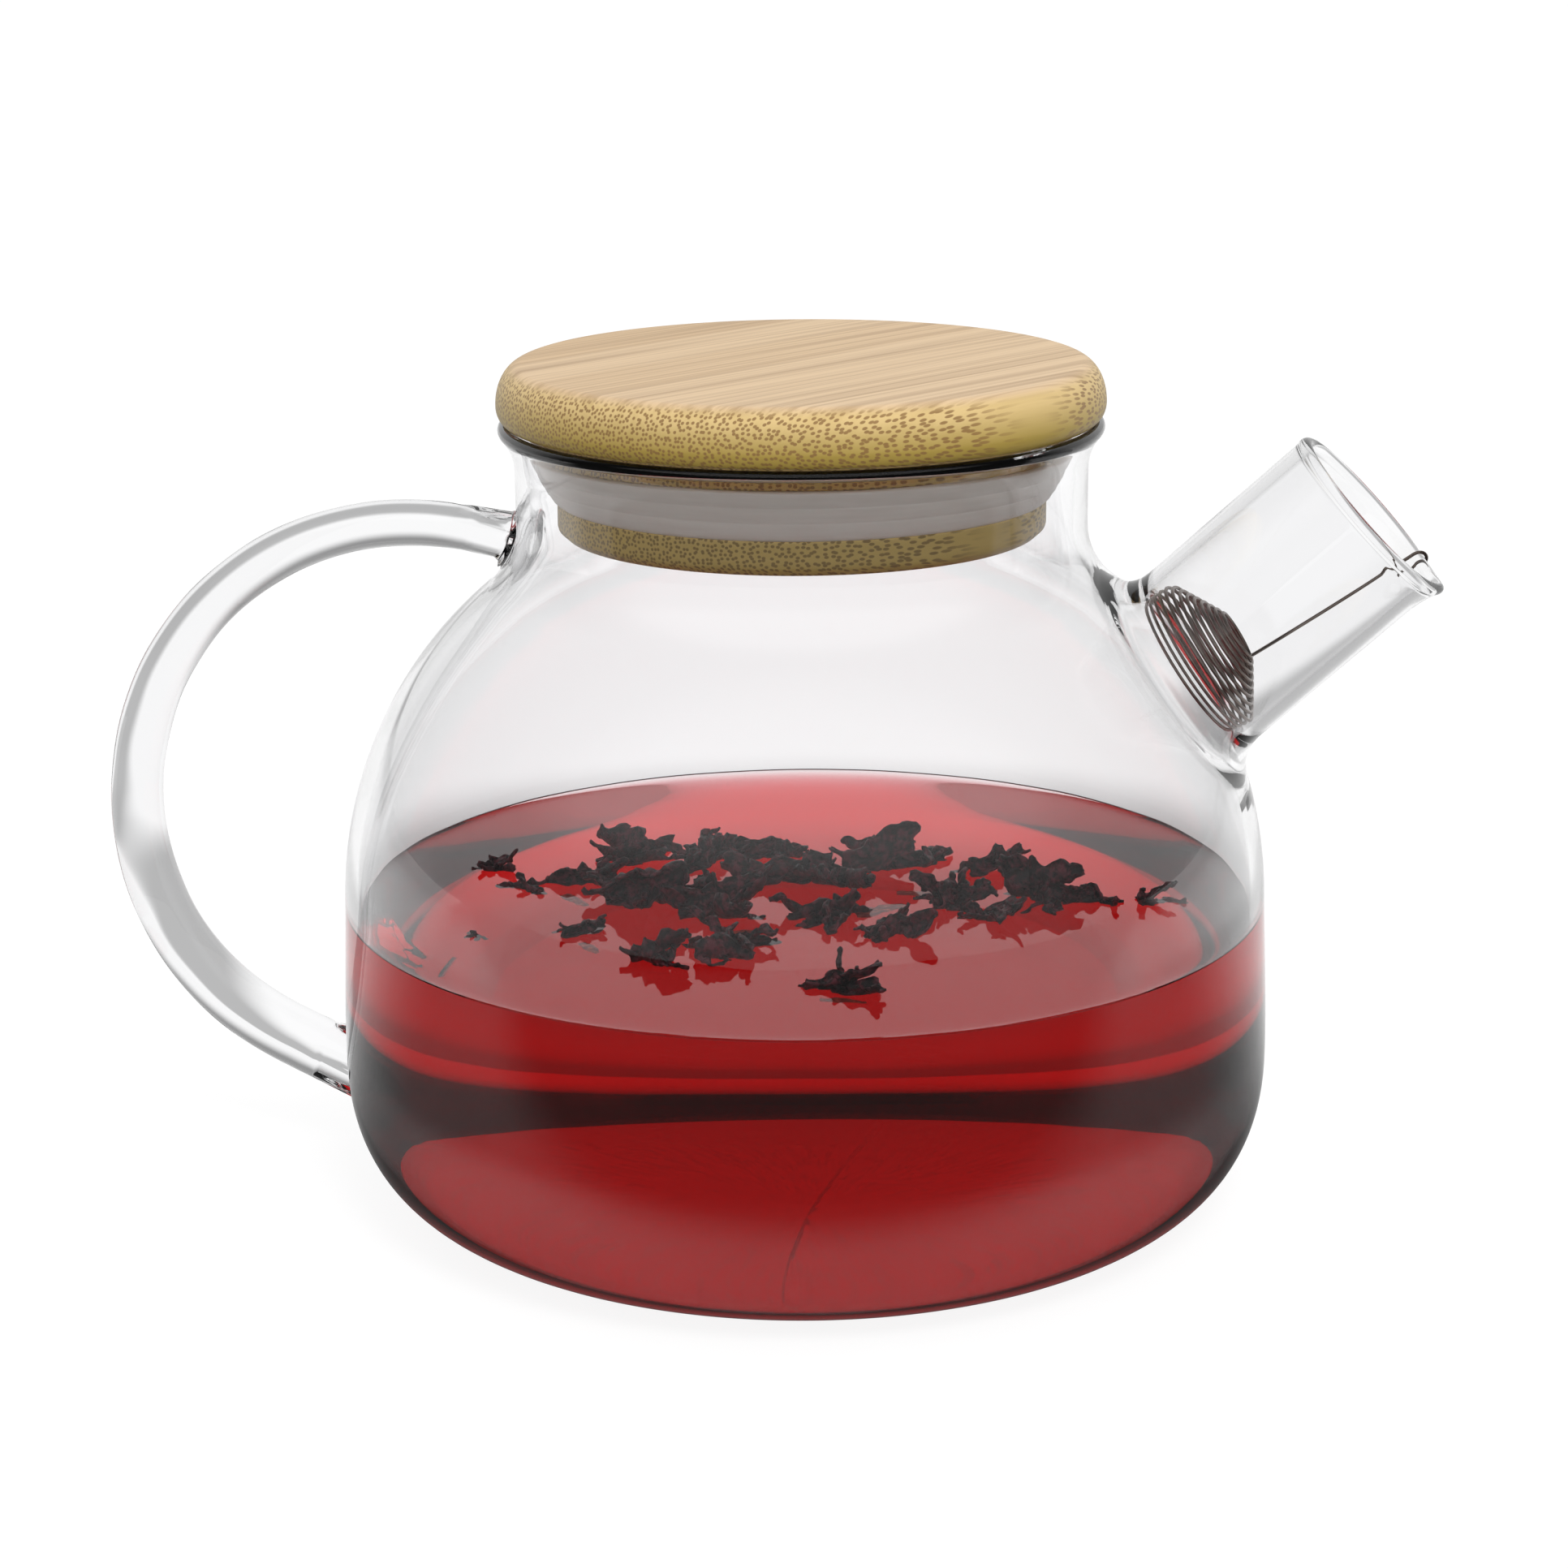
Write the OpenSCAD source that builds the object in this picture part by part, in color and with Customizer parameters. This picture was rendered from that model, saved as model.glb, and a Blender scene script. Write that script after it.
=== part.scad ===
// Glass teapot with a bamboo lid, a silicone lid seal and a coil-spring filter in the spout.
// Millimetres. +Z is up, the origin is the centre of the flat base, and the spout points along +X.

/* [Pot] */
// Widest diameter of the pot
body_d = 135; // [125:1:145]
// Height of the widest point
belly_z = 23; // [19:1:27]
// Diameter of the flat base
base_flat_d = 92; // [84:1:100]
// Sharpness of the lower corner: 2 is an ellipse, more is squarer
corner_power = 2.4; // [2:0.1:3]
// Narrowing of the wall between belly and shoulder, on the radius
wall_taper = 0.8; // [0.4:0.1:1.6]
// Height where the shoulder begins
shoulder_z = 47; // [43:1:51]
// Radius of the shoulder's arc
shoulder_r = 58.4; // [56:0.2:62]
// Outer diameter of the neck
neck_d = 81; // [76:1:86]
// Radius of the hollow between shoulder and neck
neck_fillet = 12; // [8:1:16]
// Height of the neck above that hollow, up to the rim
neck_h = 14.6; // [13.6:0.2:20]
// How far the rim flares outside the neck
rim_flare = 2; // [1:0.1:2.4]
// Radius of the rim's flare
rim_flare_r = 8; // [6:0.5:10]
// Thickness of the blown wall
glass_t = 2; // [1.6:0.1:2.6]
// Thickness of the base
base_t = 2.6; // [2:0.1:4]

/* [Spout] */
// Distance down the shoulder from the neck's hollow to the spout's axis
spout_drop = 14.9; // [13:0.1:20]
// Angle of the spout above the horizontal
spout_tilt = 43; // [38:0.5:47]
// Length from the pot's surface to the mouth
spout_l = 33.8; // [30:0.1:42]
// Outer diameter of the spout
spout_d = 27.6; // [25:0.2:31]
// Wall of the spout
spout_t = 1.8; // [1.4:0.1:2.2]
// Radius of the hollow where the spout meets the pot
spout_fillet = 5; // [3:0.5:7]
// Extra thickness of the mouth's rounded rim
spout_lip = 0.15; // [0:0.05:0.4]
// How far the pouring lip stands outside the spout
beak_reach = 2.2; // [1.4:0.1:3]
// Length of the pouring lip along the spout
beak_l = 8; // [6:0.5:12]
// Half the width of the pouring lip's channel at the mouth
beak_r = 1.7; // [1.4:0.1:2.2]
// Radius of the bead of glass round the spout's root
spout_bead_r = 1.5; // [1.2:0.1:2]

/* [Handle] */
// Diameter of the glass rod where it leaves the neck
rod_top_d = 6.5; // [6:0.1:8]
// Diameter of the glass rod where it meets the pot's side
rod_low_d = 9.2; // [7:0.1:9.4]
// Room for the fingers between pot and rod
finger_room = 30; // [26:0.1:34]
// How far below the end of the neck's hollow the rod joins the pot
handle_drop = 4.9; // [3.5:0.1:7]
// Radius of the rod's upper bend, to its centreline
handle_upper_r = 44.8; // [42:0.2:47]
// Height at which the rod joins the pot's side
handle_foot = 12.4; // [11.4:0.2:18]
// Angle at which the rod's top run dips towards the neck
handle_dip = 16.5; // [12:0.5:20]
// Angle at which the rod's lower run slopes down to the pot's side
handle_slope = 24; // [16:1:28]
// Radius of the gather of glass that joins the rod to the neck
upper_weld_r = 5.2; // [4.8:0.1:6]
// Radius of the gather of glass that joins the rod to the pot's side
lower_weld_r = 5.8; // [5.5:0.1:6.6]

/* [Lid] */
// How far the cap reaches outside the neck, on the radius
cap_overhang = 2.4; // [1:0.1:4]
// Thickness of the cap
cap_t = 8; // [6:0.1:12]
// Width of the cap's rounded top edge
cap_round_w = 3.6; // [2:0.1:6]
// Share of the cap's thickness that the top edge's rounding takes
cap_round_share = 0.7; // [0.5:0.05:0.75]
// Width of the cap's rounded bottom edge
cap_under_w = 1.7; // [1:0.1:2.4]
// Gap between cap and glass rim at rest
seat_gap = 0.05; // [0.02:0.01:0.2]
// Gap between the plug and the inside of the neck
plug_gap = 3.9; // [3:0.1:5]
// How much wider the plug is above the ring, on the radius
plug_step = 2; // [1:0.1:2.6]
// Depth of the plug below the cap
plug_h = 15.6; // [14:0.1:20]
// Chamfer round the plug's lower edge
plug_chamfer = 1.1; // [0.4:0.1:2]
// Height of the silicone ring
seal_h = 7.8; // [6:0.1:9]
// Height of bamboo between the cap and the ring
seal_drop = 2.9; // [2:0.1:4]
// Depth of the ring's groove in the plug
groove_depth = 2; // [1:0.1:3]
// Clearance between the ring's widest lip and the neck
seal_gap = 0.2; // [0.1:0.05:0.4]
// Thickness of the ring's sleeve outside the plug
sleeve_over = 0.3; // [0.2:0.05:0.8]
// Number of lips on the ring
seal_lips = 3; // [2:1:4]

/* [Filter] */
// Diameter of the filter's wire
wire_d = 0.7; // [0.5:0.05:0.9]
// Clearance between the wide turns and the spout's bore
coil_gap = 0.65; // [0.5:0.05:1.2]
// Turns in the wide, cylindrical part
wide_turns = 5; // [3:1:7]
// Length of the wide part
wide_l = 4.9; // [4.2:0.1:6]
// Turns in the closed cone
cone_turns = 8; // [6:1:9]
// Length of the closed cone
cone_l = 4.5; // [3.5:0.1:6]
// Radius of the cone's last turn
coil_tip_r = 3.4; // [3:0.1:4]
// Lean of the coil away from the spout's axis, towards its lower side
coil_lean = 9.5; // [6:0.5:10]
// How far inside the pot's surface the coil begins
coil_sink = 0.9; // [0.5:0.1:2]
// Length of the wire's bent end below the spout's mouth
hook_l = 6.2; // [5:0.1:8]
// How far the bent end steps in from the bore
hook_kink = 0.6; // [0.3:0.1:1]
// How far the wire's tip hangs down outside the rim
hook_tip = 1.8; // [1:0.1:3]
// Direction round the rim where the wire hooks over, from the spout's lowest line
hook_a = 35; // [25:1:50]
// Clearance between the hook and the rim
hook_gap = 0.12; // [0.08:0.01:0.3]

/* [Tea] */
// Height of the tea's surface
tea_z = 44.6; // [35:0.2:50]
// Clearance between the tea and the glass
tea_gap = 0.06; // [0.04:0.01:0.2]
// Length of a middling dried petal
petal_l = 10; // [8:0.5:12]
// Thickness of a dried petal
petal_t = 0.7; // [0.5:0.1:0.8]

/* [Hidden] */
$fn = 96;

body_r = body_d / 2;
base_flat_r = base_flat_d / 2;
neck_r = neck_d / 2;
rod_top_r = rod_top_d / 2;
rod_low_r = rod_low_d / 2;
corner_steps = 16;
shoulder_steps = 18;
bend_steps = 8;

// Shoulder: an arc that carries on from the tapered wall without a kink.
shoulder_a0 = atan(wall_taper / (shoulder_z - belly_z));
shoulder_x = body_r - wall_taper - shoulder_r * cos(shoulder_a0);
shoulder_cz = shoulder_z - shoulder_r * sin(shoulder_a0);

// Hollow under the neck: touches the shoulder's arc and the neck's cylinder.
hollow_x = neck_r + neck_fillet;
hollow_z = shoulder_cz + sqrt(pow(shoulder_r + neck_fillet, 2) - pow(hollow_x - shoulder_x, 2));
shoulder_a1 = atan2(hollow_z - shoulder_cz, hollow_x - shoulder_x);

// Rim: the neck bends outwards and ends in a round, fire-polished lip.
rim_z = hollow_z + neck_h;
flare_a = acos(1 - rim_flare / rim_flare_r);
flare_x = neck_r + rim_flare_r;
flare_z = rim_z - glass_t / 2 - (rim_flare_r + glass_t / 2) * sin(flare_a);
lip_x = flare_x - (rim_flare_r + glass_t / 2) * cos(flare_a);
lip_z = rim_z - glass_t / 2;

// Spout: its axis starts on the shoulder's surface.
spout_root_a = shoulder_a1 - spout_drop / shoulder_r * 180 / PI;
root_x = shoulder_x + shoulder_r * cos(spout_root_a);
root_z = shoulder_cz + shoulder_r * sin(spout_root_a);
spout_r = spout_d / 2;
bore_r = spout_r - spout_t;
spout_cut = 14;
root_sink = 0.5;
fillet_steps = 6;
mouth_lip_r = spout_t / 2 + spout_lip;
mouth_lip_x = bore_r + spout_t / 2;
mouth_lip_z = spout_l - mouth_lip_r;
beak_t = spout_t / 2;
beak_open = 1.4;
beak_foot_x = bore_r + beak_t;
beak_lean = atan((spout_r + beak_reach - beak_r - beak_t - beak_foot_x) / beak_l);

// Handle: two bends that share a tangent at the widest point, and a straight run to the pot from each.
// The radius of the lower bend is the one that brings its run to the pot's side at handle_foot.
handle_x = -(body_r + finger_room + (rod_top_r + rod_low_r) / 2);
upper_x = handle_x + handle_upper_r;
run_x = upper_x + handle_upper_r * sin(handle_dip);
weld_up_z = hollow_z - handle_drop;
run_z = weld_up_z + (-neck_r - run_x) * tan(handle_dip);
handle_z = run_z - handle_upper_r * cos(handle_dip);
weld_low_z = handle_foot;
corner_share = pow(1 - pow(1 - weld_low_z / belly_z, corner_power), 1 / corner_power);
weld_low_x = -(base_flat_r + (body_r - base_flat_r) * corner_share);
handle_lower_r = (handle_z - weld_low_z + (handle_x - weld_low_x) * tan(handle_slope))
                 / (cos(handle_slope) - (1 - sin(handle_slope)) * tan(handle_slope));
lower_x = handle_x + handle_lower_r;
neck_bury = 4;
side_bury = 4;
rod_sides = 20;
rod_steps = 20;

// Lid, from the rim up and from the neck's bore inwards.
neck_bore_r = neck_r - glass_t;
cap_z = rim_z + seat_gap;
cap_r = neck_r + cap_overhang;
plug_r = neck_bore_r - plug_gap;
plug_top_r = plug_r + plug_step;
plug_z = cap_z - plug_h;
seal_top_z = cap_z - seal_drop;
seal_z = seal_top_z - seal_h;
groove_r = plug_r - groove_depth;
seal_r = neck_bore_r - seal_gap;
lip_share = 0.24;
lip_pitch = seal_h / seal_lips;
lip_r = lip_pitch * lip_share;

// Filter, in the spout's own frame: +Z along the spout, +X towards its lower side.
wire_r = wire_d / 2;
coil_r = bore_r - coil_gap - wire_r;
coil_l = wide_l + cone_l;
coil_x = -0.5 * wide_l * sin(coil_lean);
turn_steps = 20;
wire_sides = 6;
tip_turn = wide_turns + cone_turns;
hook_r = mouth_lip_r + wire_r + hook_gap;
stem_end_z = spout_l - hook_l;
kink_rise = 1.6;

// Tea, and the petals that float on it: [share of the tea's radius, direction, share of petal_l, turn].
// The radii of a petal's skin and of its outline are shares of its length.
tea_r = body_r - glass_t - tea_gap;
petal_ball = 0.62;
petal_edge = 0.6;
petals = [
    [0.67, 180, 1.1, 79], [0.51, 198, 0.9, 129], [0.61, 228, 0.7, 39], [0.46, 161, 1.1, 109],
    [0.32, 139, 1.0, 29], [0.23, 104, 0.9, 169], [0.25, 233, 1.0, 109], [0.27, 181, 0.9, 59],
    [0.07, 199, 0.9, 19], [0.19, 309, 0.9, 129], [0.29, 46, 1.2, 89], [0.36, 351, 0.9, 69],
    [0.49, 23, 0.9, 119], [0.57, 357, 1.1, 104], [0.76, 1, 1.0, 89], [0.41, 309, 0.9, 79],
    [0.58, 247, 0.9, 109], [0.49, 265, 0.9, 54], [0.67, 285, 1.0, 109], [0.78, 212, 0.6, 29]
];

// Points on an arc, from angle a0 to angle a1.
function arc(cx, cz, r, a0, a1, steps) =
    [for (i = [0:steps]) let (a = a0 + (a1 - a0) * i / steps) [cx + r * cos(a), cz + r * sin(a)]];

// One face of the pot's wall, t inside the outer face, from the base's edge up to the rim's lip.
function corner(t, floor_z) =
    [for (i = [0:corner_steps]) let (a = 90 * i / corner_steps)
        [base_flat_r + (body_r - t - base_flat_r) * pow(sin(a), 2 / corner_power),
         belly_z - (belly_z - floor_z) * pow(cos(a), 2 / corner_power)]];
function shoulder(t) = arc(shoulder_x, shoulder_cz, shoulder_r - t, shoulder_a0, shoulder_a1, shoulder_steps);
function hollow(t) = arc(hollow_x, hollow_z, neck_fillet + t, 180 + shoulder_a1, 180, bend_steps);
function flare(t) = arc(flare_x, flare_z, rim_flare_r + t, 180, 180 - flare_a, bend_steps);
function wall(t, floor_z) = concat(corner(t, floor_z), shoulder(t), hollow(t), flare(t));
function lip() = arc(lip_x, lip_z, glass_t / 2, -flare_a, 180 - flare_a, bend_steps);
function reversed(list) = [for (i = [len(list) - 1:-1:0]) list[i]];

// Everything inside the pot's outer face, up to the rim, for seating what is joined to the glass.
module pot_envelope() {
    rotate_extrude()
        polygon(concat([[0, 0]], wall(0, 0), [[neck_r, rim_z], [0, rim_z]]));
}

// The spout's frame: origin where its axis leaves the pot, +Z along it, +X towards its lower side.
module in_spout() {
    translate([root_x, 0, root_z])
        rotate([0, 90 - spout_tilt, 0])
            children();
}

module glass_body() {
    color("lightcyan", 0.35)
        difference() {
            rotate_extrude()
                polygon(concat([[0, 0]], wall(0, 0), lip(), reversed(wall(glass_t, base_t)), [[0, base_t]]));
            in_spout()
                translate([0, 0, -spout_cut])
                    cylinder(r = bore_r, h = 2 * spout_cut);
        }
}

// Outside of the spout's tube, with the hollow at its root.
module spout_outside() {
    fillet_z = spout_fillet - root_sink;
    fillet_a = asin(fillet_z / spout_fillet);
    fillet_points = arc(spout_r + spout_fillet, fillet_z, spout_fillet, 180, 180 + fillet_a, fillet_steps);
    foot_r = fillet_points[fillet_steps][0];
    rotate_extrude()
        polygon(concat([[0, mouth_lip_z], [spout_r, mouth_lip_z]], fillet_points,
                       [[foot_r, -spout_cut / 2], [0, -spout_cut / 2]]));
}

// Frame of the pouring lip: +Z along the lip, which leans out of the spout's lowest line up to the mouth.
module in_beak() {
    translate([beak_foot_x, 0, mouth_lip_z - beak_l])
        rotate([0, beak_lean, 0])
            children();
}

// Outside of the pouring lip, with its rounded rim.
module beak_outside() {
    cylinder(r1 = beak_t / 2, r2 = beak_r + beak_t, h = beak_l);
    translate([0, 0, beak_l])
        rotate_extrude()
            translate([beak_r + beak_t / 2, 0])
                circle(r = beak_t / 2);
}

// Channel of the pouring lip, and the wider one beside it that opens it to the bore.
module beak_channel() {
    over = 2 * beak_t;
    widening = beak_r / beak_l;
    cylinder(r1 = 0, r2 = beak_r + widening * over, h = beak_l + over);
    translate([-beak_r, 0, 0])
        cylinder(r1 = 0, r2 = beak_open * (beak_r + widening * over), h = beak_l + over);
}

module spout() {
    color("lightcyan", 0.35)
        difference() {
            in_spout() {
                spout_outside();
                translate([0, 0, mouth_lip_z])
                    rotate_extrude()
                        translate([mouth_lip_x, 0])
                            circle(r = mouth_lip_r);
                in_beak()
                    beak_outside();
            }
            in_spout() {
                translate([0, 0, -spout_cut])
                    cylinder(r = bore_r, h = spout_l + 2 * spout_cut);
                in_beak()
                    beak_channel();
            }
            pot_envelope();
        }
}

// Bead of glass round the spout's root, in the plane of the pot's surface there.
module spout_weld() {
    color("lightcyan", 0.35)
        difference() {
            translate([root_x, 0, root_z])
                rotate([0, 90 - spout_root_a, 0])
                    translate([0, 0, -spout_bead_r])
                        rotate_extrude()
                            translate([spout_r + spout_fillet - spout_bead_r, 0])
                                circle(r = spout_bead_r);
            in_spout()
                spout_outside();
            pot_envelope();
        }
}

// Rings of points along a path, each square to it and turned with it, without twist.
function unit(v) = v / norm(v);
function heading(path, i) = unit(path[min(i + 1, len(path) - 1)] - path[max(i - 1, 0)]);
function carried(side, dir) = unit(side - (side * dir) * dir);
function sides(path) =
    [for (i = 0, s = carried([0, 1, 0.3], heading(path, 0)); i < len(path);
          i = i + 1, s = carried(s, heading(path, min(i, len(path) - 1)))) s];
function ring(centre, side, dir, r, n) =
    let (other = cross(dir, side))
        [for (k = [0:n - 1]) centre + r * (cos(360 * k / n) * side + sin(360 * k / n) * other)];

// Round rod along a path of points, with a radius for each point.
module bent_rod(path, radii, n) {
    side = sides(path);
    last = len(path) - 1;
    points = [for (i = [0:last]) each ring(path[i], side[i], heading(path, i), radii[i], n)];
    skin = [for (i = [0:last - 1], k = [0:n - 1])
        let (a = i * n + k, b = i * n + (k + 1) % n)
            each [[a, a + n, b + n], [a, b + n, b]]];
    ends = [[for (k = [0:n - 1]) k], [for (k = [n - 1:-1:0]) last * n + k]];
    polyhedron(points = points, faces = concat(skin, ends), convexity = 10);
}

// The handle's rod before it is cut back to the pot. It thickens evenly towards its lower end.
function handle_path() =
    [for (p = concat([[-neck_r + neck_bury, weld_up_z - neck_bury * tan(handle_dip)]],
                     arc(upper_x, handle_z, handle_upper_r, 90 - handle_dip, 180, rod_steps),
                     arc(lower_x, handle_z, handle_lower_r, 180 + (90 - handle_slope) / rod_steps,
                         270 - handle_slope, rod_steps - 1),
                     [[weld_low_x, weld_low_z], [weld_low_x + side_bury, weld_low_z]]))
        [p[0], 0, p[1]]];

module rod() {
    path = handle_path();
    last = len(path) - 1;
    bent_rod(path, [for (i = [0:last]) rod_top_r + (rod_low_r - rod_top_r) * i / last], rod_sides);
}

module handle() {
    color("lightcyan", 0.35)
        difference() {
            rod();
            pot_envelope();
        }
}

// Gather of glass round one end of the rod.
module weld(x, z, r) {
    color("lightcyan", 0.35)
        difference() {
            translate([x, 0, z])
                sphere(r = r);
            rod();
            pot_envelope();
        }
}

module upper_weld() {
    weld(-neck_r - rod_top_r / 4, weld_up_z, upper_weld_r);
}

module lower_weld() {
    weld(weld_low_x - rod_low_r / 2 * cos(handle_slope), weld_low_z + rod_low_r / 2 * sin(handle_slope),
         lower_weld_r);
}

module lid_cap() {
    top_h = cap_t * cap_round_share;
    under_h = cap_t - top_h;
    top_edge = [for (i = [0:12]) let (a = 90 * i / 12)
        [cap_r - cap_round_w * (1 - cos(a)), cap_t - top_h * (1 - sin(a))]];
    under_edge = [for (i = [0:8]) let (a = 90 * i / 8)
        [cap_r - cap_under_w * (1 - sin(a)), under_h * (1 - cos(a))]];
    color("burlywood")
        translate([0, 0, cap_z])
            rotate_extrude()
                polygon(concat([[0, 0]], under_edge, top_edge, [[0, cap_t]]));
}

module lid_plug() {
    color("tan")
        rotate_extrude()
            polygon([[0, plug_z], [plug_r - plug_chamfer, plug_z], [plug_r, plug_z + plug_chamfer],
                     [plug_r, seal_z], [groove_r, seal_z], [groove_r, seal_top_z],
                     [plug_top_r, seal_top_z], [plug_top_r, cap_z], [0, cap_z]]);
}

// Silicone ring: a sleeve in the groove with soft lips, each narrower than the one above.
module seal_ring() {
    sleeve_r = plug_r + sleeve_over;
    color("gainsboro")
        rotate_extrude() {
            polygon([[groove_r, seal_z], [sleeve_r, seal_z], [seal_r - lip_r, seal_top_z],
                     [groove_r, seal_top_z]]);
            for (i = [1:seal_lips])
                let (z = seal_z + lip_pitch * i - lip_r,
                     share = i / seal_lips,
                     x = sleeve_r * (1 - share) + (seal_r - lip_r) * share)
                    translate([x, z])
                        circle(r = lip_r);
        }
}

// Coil: turns of one radius, then a cone that closes towards the stem, about a leaning axis.
function coil_radius(turn) =
    turn < wide_turns ? coil_r
                      : coil_r + (coil_tip_r - coil_r) * (turn - wide_turns) / cone_turns;
function coil_height(turn) =
    turn < wide_turns ? wide_l * turn / wide_turns
                      : wide_l + cone_l * (turn - wide_turns) / cone_turns;
function lean(p) =
    [coil_x + p[0] * cos(coil_lean) + p[2] * sin(coil_lean), p[1],
     -coil_sink - p[0] * sin(coil_lean) + p[2] * cos(coil_lean)];
function coil_path() =
    [for (i = [0:turn_steps * tip_turn]) let (turn = i / turn_steps, a = 360 * turn)
        lean([coil_radius(turn) * cos(a), coil_radius(turn) * sin(a), coil_height(turn)])];

// Hook: leaves the stem, bends in from the bore and goes over the rim, in the plane at hook_a.
function in_hook_plane(p) = [p[0] * cos(hook_a), p[0] * sin(hook_a), p[1]];
function hook_path() =
    [for (p = concat([[coil_r, stem_end_z], [coil_r - hook_kink / 3, stem_end_z + kink_rise / 2],
                      [coil_r - hook_kink, stem_end_z + kink_rise],
                      [mouth_lip_x - hook_r - hook_kink / 2, mouth_lip_z - kink_rise]],
                     arc(mouth_lip_x, mouth_lip_z, hook_r, 180, 0, 10),
                     [[mouth_lip_x + hook_r + wire_r / 3, mouth_lip_z - hook_tip / 2],
                      [mouth_lip_x + hook_r + wire_r, mouth_lip_z - hook_tip]]))
        in_hook_plane(p)];

module filter_spring() {
    color("silver")
        in_spout()
            let (path = concat(coil_path(), hook_path()))
                bent_rod(path, [for (p = path) wire_r], wire_sides);
}

module tea() {
    color("firebrick")
        rotate_extrude()
            intersection() {
                polygon(concat([[0, base_t + tea_gap]], wall(glass_t + tea_gap, base_t + tea_gap),
                               [[0, rim_z]]));
                square([body_r, tea_z]);
            }
}

// Dry petal, cupped and pointed at both ends: a piece of a ball's skin that lies on its two tips.
module petal(length) {
    ball_r = length * petal_ball;
    tip = length / 2;
    rise = sqrt(pow(ball_r - petal_t, 2) - pow(tip, 2));
    edge_r = length * petal_edge;
    edge_y = sqrt(pow(edge_r, 2) - pow(tip, 2));
    translate([0, 0, -rise])
        intersection() {
            difference() {
                sphere(r = ball_r);
                sphere(r = ball_r - petal_t);
            }
            linear_extrude(height = ball_r)
                intersection() {
                    translate([0, edge_y])
                        circle(r = edge_r);
                    translate([0, -edge_y])
                        circle(r = edge_r);
                }
        }
}

module hibiscus_petals() {
    color("maroon")
        for (p = petals)
            translate([p[0] * tea_r * cos(p[1]), p[0] * tea_r * sin(p[1]), tea_z])
                rotate([0, 0, p[3]])
                    petal(p[2] * petal_l);
}

glass_body();
spout();
spout_weld();
handle();
upper_weld();
lower_weld();
lid_cap();
lid_plug();
seal_ring();
filter_spring();
tea();
hibiscus_petals();
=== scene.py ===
"""Glass teapot with a bamboo lid and a coil-spring filter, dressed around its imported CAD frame.

Shapes are worked out in millimetres and written to the meshes in metres.
"""
import math

import bmesh
import bpy
import numpy as np
from mathutils import Matrix, Vector, noise

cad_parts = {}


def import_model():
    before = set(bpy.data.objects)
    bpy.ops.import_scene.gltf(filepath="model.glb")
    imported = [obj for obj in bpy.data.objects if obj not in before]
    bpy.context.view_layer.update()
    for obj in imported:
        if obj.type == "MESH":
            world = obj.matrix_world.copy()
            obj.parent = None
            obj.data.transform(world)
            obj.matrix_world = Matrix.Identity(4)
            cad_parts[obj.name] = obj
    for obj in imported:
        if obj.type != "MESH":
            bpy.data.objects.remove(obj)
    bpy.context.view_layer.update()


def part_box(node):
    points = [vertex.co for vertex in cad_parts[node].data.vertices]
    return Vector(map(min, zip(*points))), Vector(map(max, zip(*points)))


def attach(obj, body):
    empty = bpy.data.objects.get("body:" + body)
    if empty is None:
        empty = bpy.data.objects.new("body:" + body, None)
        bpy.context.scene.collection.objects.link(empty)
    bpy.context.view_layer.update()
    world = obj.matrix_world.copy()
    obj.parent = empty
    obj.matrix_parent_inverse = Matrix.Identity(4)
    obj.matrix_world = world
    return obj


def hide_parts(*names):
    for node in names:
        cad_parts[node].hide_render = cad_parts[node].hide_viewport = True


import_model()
# noise_vector takes its offsets from this seed, which is otherwise the time of day.
noise.seed_set(7)

MM = 0.001

# ---------------------------------------------------------------- sizes of the glass, as in the frame
BODY_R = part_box("glass_body")[1].x / MM
BELLY_Z = 23.0
BASE_FLAT_R = 46.0
CORNER_POWER = 2.4
WALL_TAPER = 0.8
SHOULDER_Z = 47.0
SHOULDER_R = 58.4
NECK_R = 40.5
NECK_FILLET = 12.0
NECK_H = 14.6
RIM_FLARE = 2.0
RIM_FLARE_R = 8.0
GLASS_T = 2.0
BASE_T = 2.6

SPOUT_DROP = 14.9
SPOUT_TILT = 43.0
SPOUT_L = 33.8
SPOUT_R = 13.8
SPOUT_T = 1.8
SPOUT_FILLET = 5.0
SPOUT_RISE = 5.0
SPOUT_BEAD = 0.15
BORE_FILLET = 4.2
BORE_RISE = 4.0
MOUTH_SWELL = 0.15
MOUTH_SOFT = 1.2

ROD_TOP_R = 3.25
ROD_LOW_R = 4.6
ROD_TOP_FILLET = 2.2
ROD_LOW_FILLET = 2.0
ROD_RISE = 2.2
ROD_BEAD = 0.5
ROD_BEAD_AT = 0.45
ROD_CLEAR = 6.5
FINGER_ROOM = 30.0
HANDLE_DROP = 4.9
HANDLE_FOOT = 12.4
HANDLE_UPPER_R = 44.8
HANDLE_DIP = math.radians(16.5)
HANDLE_SLOPE = math.radians(24)

TEA_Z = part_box("tea")[1].z / MM

# ---------------------------------------------------------------- worked out from them
SHOULDER_A0 = math.degrees(math.atan(WALL_TAPER / (SHOULDER_Z - BELLY_Z)))
SHOULDER_X = BODY_R - WALL_TAPER - SHOULDER_R * math.cos(math.radians(SHOULDER_A0))
SHOULDER_CZ = SHOULDER_Z - SHOULDER_R * math.sin(math.radians(SHOULDER_A0))
HOLLOW_X = NECK_R + NECK_FILLET
HOLLOW_Z = SHOULDER_CZ + math.sqrt((SHOULDER_R + NECK_FILLET) ** 2 - (HOLLOW_X - SHOULDER_X) ** 2)
SHOULDER_A1 = math.degrees(math.atan2(HOLLOW_Z - SHOULDER_CZ, HOLLOW_X - SHOULDER_X))
RIM_Z = HOLLOW_Z + NECK_H
FLARE_A = math.degrees(math.acos(1 - RIM_FLARE / RIM_FLARE_R))
FLARE_X = NECK_R + RIM_FLARE_R
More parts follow.
